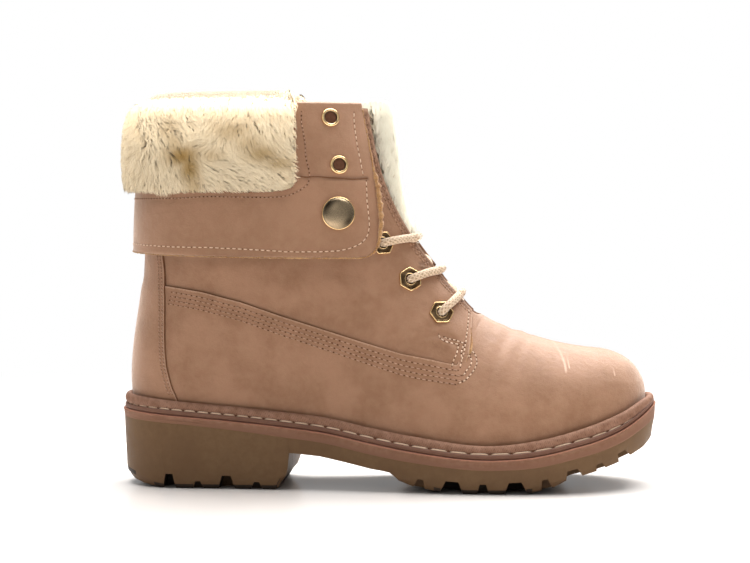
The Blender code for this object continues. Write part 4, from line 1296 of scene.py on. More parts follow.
def stitchCuff():
    light, dark = newRows(), newRows()
    tree = trees["cuff"]
    for name, look, rows in (("flapRow", "cuff", light), ("stripRow", "strip", dark)):
        near, far = (onSide(tree, smoothLine(cuffLook[name], 120), side) for side, _ in bothSides)
        stitchRow(roundHeel(near, far, tree), tree, stitchLooks[look], rows)
    for side, _ in bothSides:
        line = onSide(tree, smoothLine(cuffLook["frontRow"], 60), side)
        stitchRow(line, tree, stitchLooks["cuff"], light)
    addRows("cuffLight", light, paleThread)
    addRows("cuffTonal", dark, tonalThread)
    makeSeam()


stitchCuff()
print("cuff made")


# sole: outsole with lugs, midsole strip, stitched welt with a corded bead

sole = {
    "length": 278.0,
    "heelRound": (36.0, 2.15),  # how far the round end reaches and how square it is
    "toeRound": (72.0, 2.35),
    "beadTwist": 2.9,  # distance between the cord's strands
    "beadRelief": 0.5,
    "beadWidth": 2.05,
    "threadShare": 0.86,
    "threadSize": (0.40, 0.42),
    "bars": (*np.arange(34.0, 80.0, 15.0), *np.arange(164.0, 250.0, 16.0)),  # x of grooves across the tread
    "bar": (4.5, 12.5, 3.4),  # length, half width and depth of a groove
    "lugBevel": 0.28,
    "threadPitch": [(0, 6.6), (60, 6.9), (90, 8.0), (150, 9.4), (200, 11.0), (250, 10.0), (278, 8.0)],
}
soleMiddle = (140.0, 0, 0)
plan = np.array([  # x, half width outside, half width inside, middle line
    (0, 34.0, 34.0, 0.0), (36, 34.5, 34.0, 0.0), (75, 36.0, 33.0, 0.0), (115, 39.0, 32.5, 0.0),
    (150, 44.0, 37.5, 0.0), (190, 49.0, 45.0, 1.0), (230, 48.5, 46.5, 3.5), (278, 45.0, 43.0, 6.5)])
layers = np.array([  # x, top of the bead, top of the midsole, top of the outsole
    (0, 45.6, 37.6, 33.4), (32, 42.6, 35.3, 31.4), (86, 37.8, 30.4, 25.4), (110, 35.0, 27.4, 22.2),
    (132, 30.4, 22.8, 17.3), (157, 26.0, 18.4, 13.2), (195, 22.4, 15.4, 10.4), (219, 25.4, 17.6, 12.2),
    (235, 29.3, 21.2, 15.7), (251, 34.4, 25.6, 19.9), (262, 38.9, 30.2, 24.3), (270, 43.2, 35.2, 29.0),
    (278, 46.2, 41.0, 34.0)])
tread = np.array([  # x and height of the lugs' tips
    (0, 5.2), (5, 3.6), (14, 1.4), (24, 0.0), (84, 0.0), (86, 3.6), (88.6, 5.0), (89.6, 8.0), (90.2, 13.0),
    (90.5, 16.9), (93, 16.8), (106, 15.6), (119, 12.9), (132, 9.9), (142, 8.4), (146, 4.9), (155, 3.0),
    (167, 0.8), (176, 0.0), (206, 0.0), (214, 0.9), (223, 2.8), (231, 5.0), (247, 9.2), (258, 13.0),
    (271, 19.4), (276, 23.8), (278, 28.0)])
notches = [  # start, end, depth and reach of the cuts between lugs
    (25.2, 31.2, 5.4, 15.0), (41.2, 45.2, 1.8, 7.0), (54.2, 61.8, 4.8, 15.0), (71.4, 75.8, 1.8, 7.0),
    (155.2, 159.8, 2.6, 8.0), (168.6, 178.8, 4.2, 20.0), (187.0, 192.0, 3.2, 9.0), (200.8, 211.0, 4.2, 20.0),
    (218.9, 223.6, 3.2, 9.0), (231.2, 239.6, 4.2, 18.0), (246.6, 251.4, 3.0, 9.0), (257.8, 264.4, 4.0, 14.0)]


def layer(column, lift=0.0):
    return lambda x: through(layers[:, 0], layers[:, column], x) + lift


def treadHeight(x):
    return lookUp(tread, x)


def resting(x):
    # where the tread carries the boot, 1, and under the waist, 0
    return blendStep(6.0, 3.0, treadHeight(np.asarray(x, float)))


def roundEnd(distance, reach, squareness):
    inside = np.clip(1 - distance / reach, 0, 1)
    return (1 - inside**squareness) ** (1 / squareness)


def evenSteps(count):
    return sole["length"] / 2 * (1 - np.cos(np.linspace(0, math.pi, count)))


def outline(side, inset, x):
    # one half of the sole's plan from heel to toe, moved in by inset
    ends = roundEnd(x, *sole["heelRound"]) * roundEnd(sole["length"] - x, *sole["toeRound"])
    width = through(plan[:, 0], plan[:, 1 if side == lateral else 2], x)
    points = np.stack([x, through(plan[:, 0], plan[:, 3], x) + side * width * ends], axis=1)
    along = np.gradient(points, axis=0)
    along[0], along[-1] = (0, side), (0, -side)
    outward = unit(np.stack([-along[:, 1], along[:, 0]], axis=1) * side)
    return points - outward * np.broadcast_to(inset, x.shape)[:, None]


def feather(x):
    # inset of the upper's lower edge from the sole's edge
    return 5.9 + 1.1 * blendStep(0, 36.0, np.minimum(x, sole["length"] - x))


def ring(inset, height, steps):
    # a closed loop round the sole at a height that changes along its length
    near, far = (outline(side, inset, steps) for side, _ in bothSides)
    loop = np.concatenate([near, far[-2:0:-1]])
    return np.column_stack([loop, height(loop[:, 0])])


def evenRing(points, count):
    closed = np.concatenate([points, points[:1]])
    length = runLength(closed)
    at = np.linspace(0, length[-1], count, endpoint=False)
    return readLine(at, length, closed), at


def lofted(loops, closed=True, finish=None):
    # a skin over stacked closed loops, from a grid whose borders are merged
    loops = [np.concatenate([loop, loop[:1]]) for loop in loops]
    bm = gridOf(loops + loops[:1] if closed else loops, finish)[0]
    bmesh.ops.remove_doubles(bm, verts=bm.verts, dist=1e-6)
    bmesh.ops.recalc_face_normals(bm, faces=bm.faces)
    return bm


def loftRings(rings, closed=True):
    return lofted([place(r) for r in rings], closed)


def makeBead():
    # twisted cord between the upper and the ledge
    steps = evenSteps(301)
    top, shelf = layer(1), layer(2, 2.4)
    middle = ring(feather(steps) - 3.1, lambda x: (top(x) + shelf(x)) / 2, steps)
    middle, at = evenRing(middle, 1020)
    tall = (top(middle[:, 0]) - shelf(middle[:, 0])) / 2
    along = unit(np.roll(middle, -1, axis=0) - np.roll(middle, 1, axis=0))
    out = unit(np.cross(along, (0, 0, 1.0)))
    out *= np.sign(((middle - soleMiddle) * (1, 1, 0) * out).sum(1, keepdims=True))
    total = at[1] * len(at)
    twists = round(total / sole["beadTwist"])
    strength = sole["beadRelief"] * (0.45 + 0.55 * blendStep(215, 150, middle[:, 0]))
    rings, grooveShade = [], []
    for angle in np.linspace(0, 2 * math.pi, 19)[:-1]:
        wave = np.sin(2 * math.pi * twists * at / total + 3.0 * angle)
        groove = 1 - np.abs(wave) ** 0.6
        radius = 1 + (strength * (0.35 - groove)) / 2.4
        loop = middle + out * (sole["beadWidth"] * math.cos(angle) * radius)[:, None]
        loop[:, 2] += tall * math.sin(angle) * radius
        rings.append(loop)
        grooveShade.append(groove)
    bm = loftRings(rings)
    at = nearest(coordinates(bm), place(np.concatenate(rings)))
    # painted shade in the grooves between the cord's strands
    setShade(bm, "shade", 0.8 * np.concatenate(grooveShade)[at])
    addPiece("weltBead", bm, [beadRubber])


def makeLedge():
    steps = evenSteps(201)
    inner = feather(steps) - 0.9
    profile = [(inner, 0.3), (1.0, 0.3), (0.62, 0.6), (0.55, 1.7), (0.75, 2.35), (1.15, 2.75), (1.7, 2.75),
               (2.2, 2.35), (2.7, 2.7), (inner, 2.9)]
    bm = loftRings([ring(inset, layer(2, lift), steps) for inset, lift in profile])
    addPiece("weltLedge", bm, [weltRubber], ["welt"])


def capRing(bm, ring):
    half = len(ring) // 2
    for i in range(half):
        corners = list(dict.fromkeys([ring[i], ring[i + 1], ring[-i - 1], ring[-i % len(ring)]]))
        if len(corners) > 2 and bm.faces.get(corners) is None:
            bm.faces.new(corners)


def makeMidsole():
    steps = evenSteps(201)
    profile = [  # inset, the layer it is measured from, and how far above that
        (0.27, 3, -0.1), (0.2, 3, 0.6), (0.1, 3, 1.8), (0.0, 2, -2.4), (-0.02, 2, -1.4), (-0.3, 2, -1.0),
        (-0.36, 2, -0.6), (-0.22, 2, -0.25), (0.3, 2, 0.0), (6.0, 2, 0.0), (6.0, 3, -0.1)]
    bm = loftRings([ring(inset, layer(column, lift), steps) for inset, column, lift in profile])
    co = inBoot(coordinates(bm))
    below = layer(2)(co[:, 0]) - co[:, 2]
    # painted highlight: the strip's top edge turns paler through the wear mask
    setShade(bm, "edge", np.clip(1 - below / 1.5, 0, 1))
    setShade(bm, "shade", blendStep(2.6, 4.6, below + 1.3 * blendStep(110, 60, co[:, 0])))
    addPiece("midsoleStrip", bm, [midsoleRubber], ["midsole"])


def treadBlock(bm, start, end, yRange, depth, taper=0.62):
    # a tapered block that cuts up into the tread, tilted with the tread's own slope
    middle, length, below = (start + end) / 2, end - start, 6.0
    low, here, high = treadHeight(np.array([start, middle, end]))
    box = bmesh.ops.create_cube(bm, size=1.0)["verts"]
    for corner in box:
        corner.co.x *= taper if corner.co.z > 0 else 1 + (1 - taper) * below / depth
    bmesh.ops.scale(bm, verts=box, vec=Vector((length, yRange[1] - yRange[0], depth + below)) * mm)
    bmesh.ops.translate(bm, verts=box, vec=Vector((0, 0, (depth - below) / 2)) * mm)
    turn = Matrix.Rotation(-math.atan2(high - low, length), 3, "Y")
    bmesh.ops.rotate(bm, verts=box, matrix=turn, cent=(0, 0, 0))
    bmesh.ops.translate(bm, verts=box, vec=Vector(place((middle, sum(yRange) / 2, here))))


def soleEdge(x, side):
    points = outline(side, 0.0, evenSteps(361))
    return np.interp(x, points[:, 0], points[:, 1])


def soleBlank():
    # the outsole before it is cut
    steps = np.unique(np.round(np.concatenate([evenSteps(121), tread[:, 0]]), 2))
    top = layer(3)
    profile = [  # inset and height
        (4.6, lambda x: treadHeight(x) - 2.0 * resting(x)),
        (3.9, lambda x: treadHeight(x) - 1.9 * resting(x)),
        (2.35, lambda x: treadHeight(x) + 0.2 * resting(x)),
        (1.85, lambda x: treadHeight(x) + 0.75 * resting(x)),
        (1.45, lambda x: np.minimum(treadHeight(x) + 2.9, top(x) - 1.2)),
        (0.25, lambda x: top(x) - 0.2),
        (0.3, lambda x: top(x) + 0.3)]
    rings = [ring(inset, height, steps) for inset, height in profile]
    bm = loftRings(rings, closed=False)
    for face in bm.faces:
        face.smooth = False
    for rim in (rings[0], rings[-1]):
        bm.verts.ensure_lookup_table()
        capRing(bm, [bm.verts[i] for i in nearest(place(rim), coordinates(bm))])
    bmesh.ops.recalc_face_normals(bm, faces=bm.faces)
    return bm


def makeOutsole():
    cuts, bars = bmesh.new(), bmesh.new()
    for start, end, depth, reach in notches:
        for side, _ in bothSides:
            rim = soleEdge((start + end) / 2, side)
            treadBlock(cuts, start, end, sorted((rim + side * 8.0, rim - side * reach)), depth)
    length, half, depth = sole["bar"]
    for x in sole["bars"]:
        centre = (soleEdge(x, lateral) + soleEdge(x, medial)) / 2
        treadBlock(bars, x, x + length, (centre - half, centre + half), depth)
    blank, *tools = (newObject(name, meshOf(name, bm)) for name, bm in (
        ("outsoleBlank", soleBlank()), ("notches", cuts), ("grooves", bars)))
    for tool in tools:
        step = blank.modifiers.new(tool.name, "BOOLEAN")
        step.operation = "DIFFERENCE"
        step.object = tool
        step.solver = "MANIFOLD"
    bm = afterModifiers(blank)
    for helper in (blank, *tools):
        bpy.data.objects.remove(helper)
    bmesh.ops.remove_doubles(bm, verts=bm.verts, dist=1e-5)
    sharp = [s for s in bm.edges if len(s.link_faces) == 2 and s.is_convex
             and s.calc_face_angle(0) > math.radians(32) and s.calc_length() > 0.3 * mm]
    bmesh.ops.bevel(bm, geom=sharp, offset=sole["lugBevel"] * mm, offset_type="OFFSET", affect="EDGES",
                    segments=2, profile=0.5, material=-1, clamp_overlap=True)
    for s in bm.edges:
        s.smooth = len(s.link_faces) != 2 or s.calc_face_angle(0) < math.radians(40)
    bm.normal_update()
    for face in bm.faces:
        face.smooth = True
        x, _, z = inBoot(face.calc_center_median())
        # faces under the tread's edge, and low faces that face the heel or the toe, take painted shade
        low = z < min(treadHeight(x + np.array([-5.0, 0.0, 5.0]))) - 0.2
        inside = abs(face.normal.x) > 0.75 and z < 12 and abs(x - 90) > 3
        face.material_index = int(low or (inside and abs(face.normal.z) < 0.65))
    addPiece("lugSole", bm, [soleRubber, treadRubber], ["outsole"], smooth=False)


def weltNormal(points):
    # up and outwards from the ledge's groove
    return unit(unit((points - soleMiddle) * (1, 1, 0)) * 0.75 + (0, 0, 0.66))


def stitchWelt():
    # long pale threads in the groove, with a hole between each pair
    steps = evenSteps(301)
    line, _ = evenRing(ring(2.0, layer(2, 2.9), steps), 1600)
    line = np.concatenate([line, line[:1]])
    rows = newRows()
    run = np.cumsum(np.linalg.norm(line[1] - line[0]) / lookUp(sole["threadPitch"], line[:, 0]))
    total = round(run[-1])
    run = run * total / run[-1]
    knots = readLine(np.arange(total + 1), run, line)
    along = np.diff(knots, axis=0)
    mids = readLine(np.arange(total) + 0.5, run, line)
    length = np.linalg.norm(along, axis=1) / 2 * sole["threadShare"]
    scale = columns(length, *sole["threadSize"])
    normal = weltNormal(mids)
    rows["thread"].append(repeated(cordedThread, place(mids) + normal * 0.28 * mm, along, normal, scale))
    normal = weltNormal(knots)
    spots = place(knots) + normal * 0.42 * mm
    rows["hole"].append(repeated(hole, spots, np.gradient(knots, axis=0), normal, (0.72, 0.6, 1)))
    addRows("welt", rows, weltThread)


def twistedShape():
    # a two-ply thread, lying along x
    bm = bmesh.new()
    bmesh.ops.create_cone(bm, cap_ends=True, segments=6, radius1=1, radius2=1, depth=2)
    alongX(bm)
    long = [s for s in bm.edges if abs(s.verts[0].co.x - s.verts[1].co.x) > 1]
    bmesh.ops.subdivide_edges(bm, edges=long, cuts=9, use_grid_fill=True)
    for v in bm.verts:
        x = v.co.x
        turn = math.atan2(v.co.z, v.co.y)
        ply = 1 + 0.16 * math.cos(2 * (turn - x * 8.0))
        end = max(0.0, 1 - abs(x) ** 6) ** 0.5
        v.co.y *= ply * (0.35 + 0.65 * end)
        v.co.z = v.co.z * ply * (0.35 + 0.65 * end) - 0.9 * abs(x) ** 4
    return template(bm)


rubberBase = {"fleck": 260.0, "grain": 3000.0, "relief": 0.18, "patch": 40.0}
soleRubber = plainMix("soleRubber", rubberBase | {
    "base": (0.126, 0.071, 0.033), "second": (0.145, 0.085, 0.042), "third": (0.110, 0.059, 0.028),
    "roughness": 0.55, "gloss": 0.15})
# near-black: painted contact shadow under the tread's edge, and painted shade on low faces that face the heel
# or the toe
treadRubber = plainMix("treadRubber", rubberBase | {
    "base": (0.022, 0.014, 0.009), "second": (0.04, 0.026, 0.017), "third": (0.016, 0.010, 0.006),
    "roughness": 0.6, "gloss": 0.2})
# the paler colour along the strip's top edge is a painted highlight
midsoleRubber = plainMix("midsoleRubber", rubberBase | {
    "base": (0.190, 0.096, 0.060), "second": (0.235, 0.130, 0.086), "third": (0.160, 0.077, 0.047),
    "wornAndHighlight": (0.33, 0.145, 0.095), "lower": (0.185, 0.095, 0.060), "wearAndHighlight": 0.8, "roughness": 0.65,
    "gloss": 0.08})
weltRubber = plainMix("weltRubber", rubberBase | {
    "base": (0.130, 0.058, 0.035), "second": (0.160, 0.078, 0.050), "third": (0.105, 0.045, 0.027),
    "roughness": 0.55, "gloss": 0.25})
weltThread = plainMix("weltThread", {
    "base": (0.62, 0.44, 0.30), "second": (0.78, 0.60, 0.44), "third": (0.50, 0.33, 0.21),
    "roughness": 0.5, "fleck": 900.0, "grain": 6000.0, "relief": 0.6})


# its "lower" colour is painted shade in the cord's grooves
beadRubber = plainMix("beadRubber", {
    "base": (0.205, 0.102, 0.062), "second": (0.300, 0.166, 0.110), "lower": (0.075, 0.033, 0.021),
    "roughness": 0.65, "change": 0.0, "gloss": 0.15, "fleck": 240.0, "grain": 3000.0, "relief": 0.25})
cordedThread = twistedShape()
makeOutsole()
makeMidsole()
makeLedge()
makeBead()
stitchWelt()
print("sole made")


# metal trims

trims = {
    "hexEyelets": [(137.3, 123.8, 26), (151.4, 105.2, 0), (167.6, 88.2, 30)],  # x, z, turn
    "roundEyelets": [(111.9, 187.6), (116.6, 163.7)],
    "snap": (116.4, 139.2),
    "hexFlats": 11.2,
    "holeRadius": 2.45,
    "roundRadius": 4.75,
    "snapRadius": 8.4,
    "snapShade": [(0, 0.0), (2.6, 0.08), (4.4, 0.45), (5.8, 0.9), (7.0, 1.0), (7.8, 0.8), (8.4, 0.0)],
    "lift": 0.02,
}


def metal(name, bright, agedAndReflection, roughness, ageing):
    # polished brass with darker patches of age, and a painted dark reflection where the piece's own "shade"
    # is set
    material, tree, shader = newMaterial(name, roughness, 1.0)
    marks = useGroup(tree, mottle, Patch=210.0, Fleck=900.0, Grain=5000.0)
    colour = mixColour(tree, times(tree, marks["Patches"], ageing), bright, agedAndReflection)
    setInputs(tree, shader, {
        "Base Color": mixColour(tree, attribute(tree, "shade"), colour, agedAndReflection),
        "Roughness": plus(tree, times(tree, marks["Flecks"], 0.02), roughness)})
    bumped(tree, shader, marks["Grain"], 0.03, 0.0001)
    return material


brightBrass = metal("brightBrass", (0.90, 0.64, 0.33), (0.46, 0.27, 0.12), 0.18, 0.35)
darkBrass = metal("darkBrass", (0.15, 0.095, 0.05), (0.035, 0.022, 0.012), 0.34, 0.7)
snapBrass = metal("snapBrass", (0.36, 0.27, 0.17), (0.022, 0.016, 0.010), 0.26, 0.04)


def hexRadius(turn, flats, rounding=0.035):
    # distance from the middle to the side of a hexagon with eased corners
    part = np.abs(turn % (math.pi / 3) - math.pi / 6)
    sharp = flats / 2 / np.cos(part)
    return sharp * (1 - rounding * blendStep(0.42, math.pi / 6, part))


def trimLoops(profile, flats=None, count=72):
    # loops for (radius or share of the hexagon, height, roundness) rows
    turn = np.linspace(0, 2 * math.pi, count, endpoint=False)
    loops = []
    for radius, height, roundness in profile:
        r = np.full(count, float(radius))
        if flats:
            r = (1 - roundness) * hexRadius(turn, flats) * radius / (flats / 2) + roundness * radius
        loops.append(columns(r * np.sin(turn), r * np.cos(turn), height) * mm)
    return loops


def seatFrame(tree, x, z, side, turn=0.0, lift=0.0, reach=3.5):
    # frame at a place seen from the side: its z out of the surface, its y up the boot
    around = [(x + reach * math.cos(a), z + reach * math.sin(a)) for a in np.linspace(0, 2 * math.pi, 9)]
    found = onSide(tree, [(x, z)] + around, side)
    middle = found[0]
    across, up = found[1] - found[5], found[3] - found[7]
    normal = unit(np.cross(across, up)) * -side
    if normal[1] * side < 0:
        normal = -normal
    up = unit(np.array([0, 0, 1.0]) - normal * normal[2])
    matrix = Matrix((np.cross(up, normal), up, normal)).transposed().to_4x4()
    # the trim sits on the highest of the surface's points around it
    rise = max(0.0, max((spot - middle) @ normal for spot in found[1:]))
    matrix.translation = Vector(middle + normal * (lift * mm + rise))
    return matrix @ Matrix.Rotation(math.radians(turn * side), 4, "Z")


def makeTrim(name, replaced, loops, finish, frame, shades=None, hollow=None):
    bm = lofted(loops, closed=False, finish=finish)
    if hollow:
        # a dark disc over the hole: painted shade for its inside
        made = bmesh.ops.create_circle(bm, cap_ends=True, segments=24, radius=hollow * mm)["verts"]
        bmesh.ops.translate(bm, verts=made, vec=(0, 0, 0.10 * mm))
        for face in {f for v in made for f in v.link_faces}:
            face.material_index = 2
            face.smooth = True
            face.normal_update()
            if face.normal.z < 0:
                face.normal_flip()
    if shades:
        # dark reflections lie in two arcs across from each other
        arc = [math.cos(math.atan2(v.co.y, v.co.x) - math.radians(140)) ** 2 for v in bm.verts]
        setShade(bm, "shade", [(0.12 + 0.88 * a**1.5) * lookUp(shades, v.co.xy.length / mm)
                               for v, a in zip(bm.verts, arc)])
    bmesh.ops.transform(bm, matrix=frame, verts=bm.verts)
    inner = darkBrass if hollow else snapBrass
    addPiece(name, bm, [brightBrass, inner, needleHole], [replaced])


def makeTrims():
    hole, flat, rim, cap = (trims[k] for k in ("holeRadius", "hexFlats", "roundRadius", "snapRadius"))
    flat /= 2
    hexProfile = [
        (flat + 0.1, -0.5, 0), (flat + 0.1, 0.6, 0), (flat, 0.92, 0), (flat - 0.22, 1.05, 0),
        (flat - 0.5, 0.98, 0.02), (flat - 0.7, 0.66, 0.06), (flat - 1.5, 0.34, 0.6), (hole + 1.15, 0.30, 1),
        (hole + 0.9, 0.52, 1), (hole + 0.62, 0.86, 1), (hole + 0.34, 0.92, 1), (hole + 0.08, 0.72, 1),
        (hole, 0.4, 1), (hole + 0.1, 0.0, 1)]
    roundProfile = [
        (rim, -0.4, 1), (rim, 0.35, 1), (rim - 0.18, 0.74, 1), (rim - 0.5, 0.98, 1), (rim - 0.9, 1.02, 1),
        (rim - 1.3, 0.86, 1), (rim - 1.65, 0.5, 1), (rim - 1.85, 0.2, 1), (rim - 1.9, 0.0, 1)]
    snapProfile = [(cap - 0.3, -0.3, 1), (cap, 0.25, 1), (cap + 0.05, 0.7, 1), (cap - 0.12, 1.1, 1),
                   (cap - 0.45, 1.3, 1), (cap - 0.72, 1.22, 1), (cap - 0.95, 1.42, 1), (cap - 1.5, 1.78, 1),
                   (cap - 2.6, 2.22, 1), (cap - 4.0, 2.56, 1), (cap - 5.6, 2.78, 1), (cap - 7.2, 2.88, 1),
                   (0.001, 2.9, 1)]
    hexLoops, roundLoops = trimLoops(hexProfile, trims["hexFlats"]), trimLoops(roundProfile)
    snapLoops = trimLoops(snapProfile, count=64)
    finish = {"hex": [0] * 4 + [1] * 5 + [0] + [1] * 3, "round": [0] * 5 + [1] * 3, "snap": [0] * 4 + [1] * 8}
    for side, word in bothSides:
        low, cuff = word.lower(), trees["cuff"]
        for number, (x, z, turn) in enumerate(trims["hexEyelets"], 1):
            frame = seatFrame(trees["all"], x, z, side, turn, trims["lift"])
            makeTrim(f"hexEyelet{word}{number}", f"hex_eyelet_{low}_{number}", hexLoops, finish["hex"], frame,
                     hollow=hole + 0.1)
        for number, (x, z) in enumerate(trims["roundEyelets"], 1):
            frame = seatFrame(cuff, x, z, side, 0.0, trims["lift"])
            makeTrim(f"roundEyelet{word}{number}", f"round_eyelet_{low}_{number}", roundLoops,
                     finish["round"], frame, hollow=rim - 1.85)
        frame = seatFrame(cuff, *trims["snap"], side, 0.0, trims["lift"], reach=7.0)
        makeTrim("snap" + word, "snap_" + low, snapLoops, finish["snap"], frame, trims["snapShade"])


makeTrims()
print("eyelets and snaps made")


# tongue, and the braided lace that crosses it

laces = {
    "thickness": 4.2,
    "press": 2.4,  # how deep the tongue lies below its full height under the lace
    "humps": (1.68, -0.84),  # how far the lateral and the medial run rise where they cross
    "instep": [(84, 52), (96, 47), (112, 42), (129, 30), (150, 20), (180, 14)],  # z, its slope in degrees
    "braid": {"strands": 6, "period": 2.1, "relief": 0.16},
    "runs": [  # x, z where it leaves the near facing, then where it slips under the far one
        {"name": "laceLower", "replaces": ["lace_cross_lower"], "eyelet": 2,
         "over": (179.4, 96.6), "under": (166.5, 110.5)},
        {"name": "laceUpper", "replaces": ["lace_cross_upper"], "eyelet": 1,
         "over": (167.2, 108.9), "under": (152.5, 127.0)},
        {"name": "laceTop", "replaces": [], "eyelet": 0, "over": (154.4, 126.2), "under": (147.0, 139.0)},
    ],
}


def makeTongue():
    bm = refined(mergedCopy("tongue"), 2)
    co = inBoot(coordinates(bm))
    # the padding gives way under the lace
    off = np.abs(co[:, 1])
    pressed = blendStep(86, 96, co[:, 2]) * blendStep(156, 142, co[:, 2]) * blendStep(16.5, 12.5, off)
    bm.normal_update()
    outward = np.array([v.normal @ Vector(frontwards(z)) for v, z in zip(bm.verts, co[:, 2])])
    moveOut(bm, -laces["press"] * pressed * (outward > 0.3))
    trees["tongue"] = BVHTree.FromBMesh(bm)
    # painted shade: darker towards the sides, where the tongue goes under the facings
    setShade(bm, "shade", 0.25 * blendStep(14.0, 17.5, off))
    addPiece("tongueLeather", bm, [nubuck], ["tongue"])


def frontwards(z):
    # direction straight out of the instep at a height
    turn = math.radians(lookUp(laces["instep"], z))
    return np.array([math.cos(turn), 0.0, math.sin(turn)])


def dropped(tree, x, y, z, lift):
    # a point that lies lift above the surface reached from straight in front
    out = frontwards(z)
    spot = place((x, y, z))
    co, normal, _, _ = tree.ray_cast(Vector(spot + out * 0.06), Vector(-out))
    if co is None:
        co, normal, _, _ = tree.find_nearest(Vector(spot))
    normal = np.array(normal)
    if normal @ out < 0:
        normal = -normal
    return np.array(co) + normal * lift * mm, normal


def rimPoint(side, z):
    # where the facing's edge lies at a height
    path = facingPaths[side]
    return path[np.argmin(np.abs(path[:, 2] / mm - z))]


def onPanels(spot, outward):
    near, away, _, _ = trees["all"].find_nearest(Vector(spot))
    away = np.array(away)
    return np.array(near), away * np.sign(away @ outward)


def laceRun(run, side, hump):
    # out of the eyelet, along the facing, over its edge, across the tongue and under the far facing
    radius = laces["thickness"] / 2
    x, z, _ = trims["hexEyelets"][run["eyelet"]]
    frame = seatFrame(trees["all"], x, z, side)
    middle, normal = np.array(frame.translation), np.array(frame.to_3x3().col[2])
    (x0, z0), (x1, z1) = run["over"], run["under"]
    rim = rimPoint(side, z0)
    brink, back = abs(rim[1]) / mm, unit(middle - rim)
    edge, edgeAway = onPanels(rim + back * 2.0 * mm, normal)
    edge = edge + edgeAway * radius * 0.92 * mm
    crest = rim + unit(frontwards(z0) * 0.55 + edgeAway * 0.8) * radius * 0.95 * mm
    ahead = unit(edge - middle)
    ahead = unit(ahead - normal * (ahead @ normal))
    points = [middle - normal * 3.2 * mm - ahead * 0.6 * mm, middle - normal * 0.8 * mm,
              middle + (normal * 1.1 + ahead * 0.9) * mm, middle + (normal * 2.25 + ahead * 3.0) * mm]
    start = middle + ahead * 5.5 * mm
    for share in (0.0, 0.4, 0.75):
        near, away = onPanels(start + (edge - start) * share, normal)
        points.append(near + away * (radius * 0.95 + 0.9 * (1 - share)) * mm)
    points += [edge, crest]
    last = -abs(rimPoint(side, z1)[1]) / mm - 3.0
    for y in np.linspace(brink - 4.0, last, 7):
        share = (brink - y) / (brink - last)
        bend = math.sin(math.pi * min(1, share)) * 1.2
        spot, away = dropped(
            trees["tongue"], x0 + (x1 - x0) * share + bend, side * y, z0 + (z1 - z0) * share, radius * 0.9)
        points.append(spot + away * hump * math.exp(-(y / 5.0) ** 2) * mm)
    return smoothLine(points, 190)


def braided(points):
    # a cord whose surface goes up and down with the strands of its braid
    braid = laces["braid"]
    bm, spots = tubeAlong(points, laces["thickness"] / 2 * mm, 24)
    heights = {}
    for v, (length, share) in spots.items():
        along, turn = length / mm / braid["period"], share * braid["strands"]
        heights[v] = max(math.sin(2 * math.pi * (turn + along)), math.sin(2 * math.pi * (turn - along)))
    tree = pointTree(points)
    for v, height in heights.items():
        v.co += (v.co - tree.find(v.co)[0]).normalized() * (braid["relief"] * (height - 0.6) * mm)
    # painted shade in the low places between the braid's strands
    setShade(bm, "shade", [0.7 * max(0.0, 0.72 - heights[v]) for v in bm.verts])
    return closeTube(bm)


def makeLaces():
    for run in laces["runs"]:
        for (side, word), hump in zip(bothSides, laces["humps"]):
            replaced = run["replaces"] if side == lateral else []
            addPiece(run["name"] + word, braided(laceRun(run, side, hump)), [laceCord], replaced)
    points = [dropped(trees["tongue"], 178.5 - 0.02 * y * y, y, 95.5 - 0.01 * y * y, 1.9)[0]
              for y in np.linspace(-15, 15, 9)]
    addPiece("laceBar", braided(smoothLine(points, 120)), [laceCord], ["lace_bottom_bar"])


# its "lower" colour is painted shade between the braid's strands
laceCord = plainMix("laceCord", {
    "base": (0.84, 0.68, 0.49), "second": (0.50, 0.35, 0.22), "third": (0.66, 0.49, 0.33),
    "lower": (0.33, 0.20, 0.11), "roughness": 0.7, "change": 0.0, "sheen": 0.3, "patch": 160.0,
    "fleck": 1300.0, "grain": 6000.0, "relief": 0.5})
makeTongue()
makeLaces()
print("tongue and laces made")


# plush fur in fine wavy locks, each strand a tapering ribbon

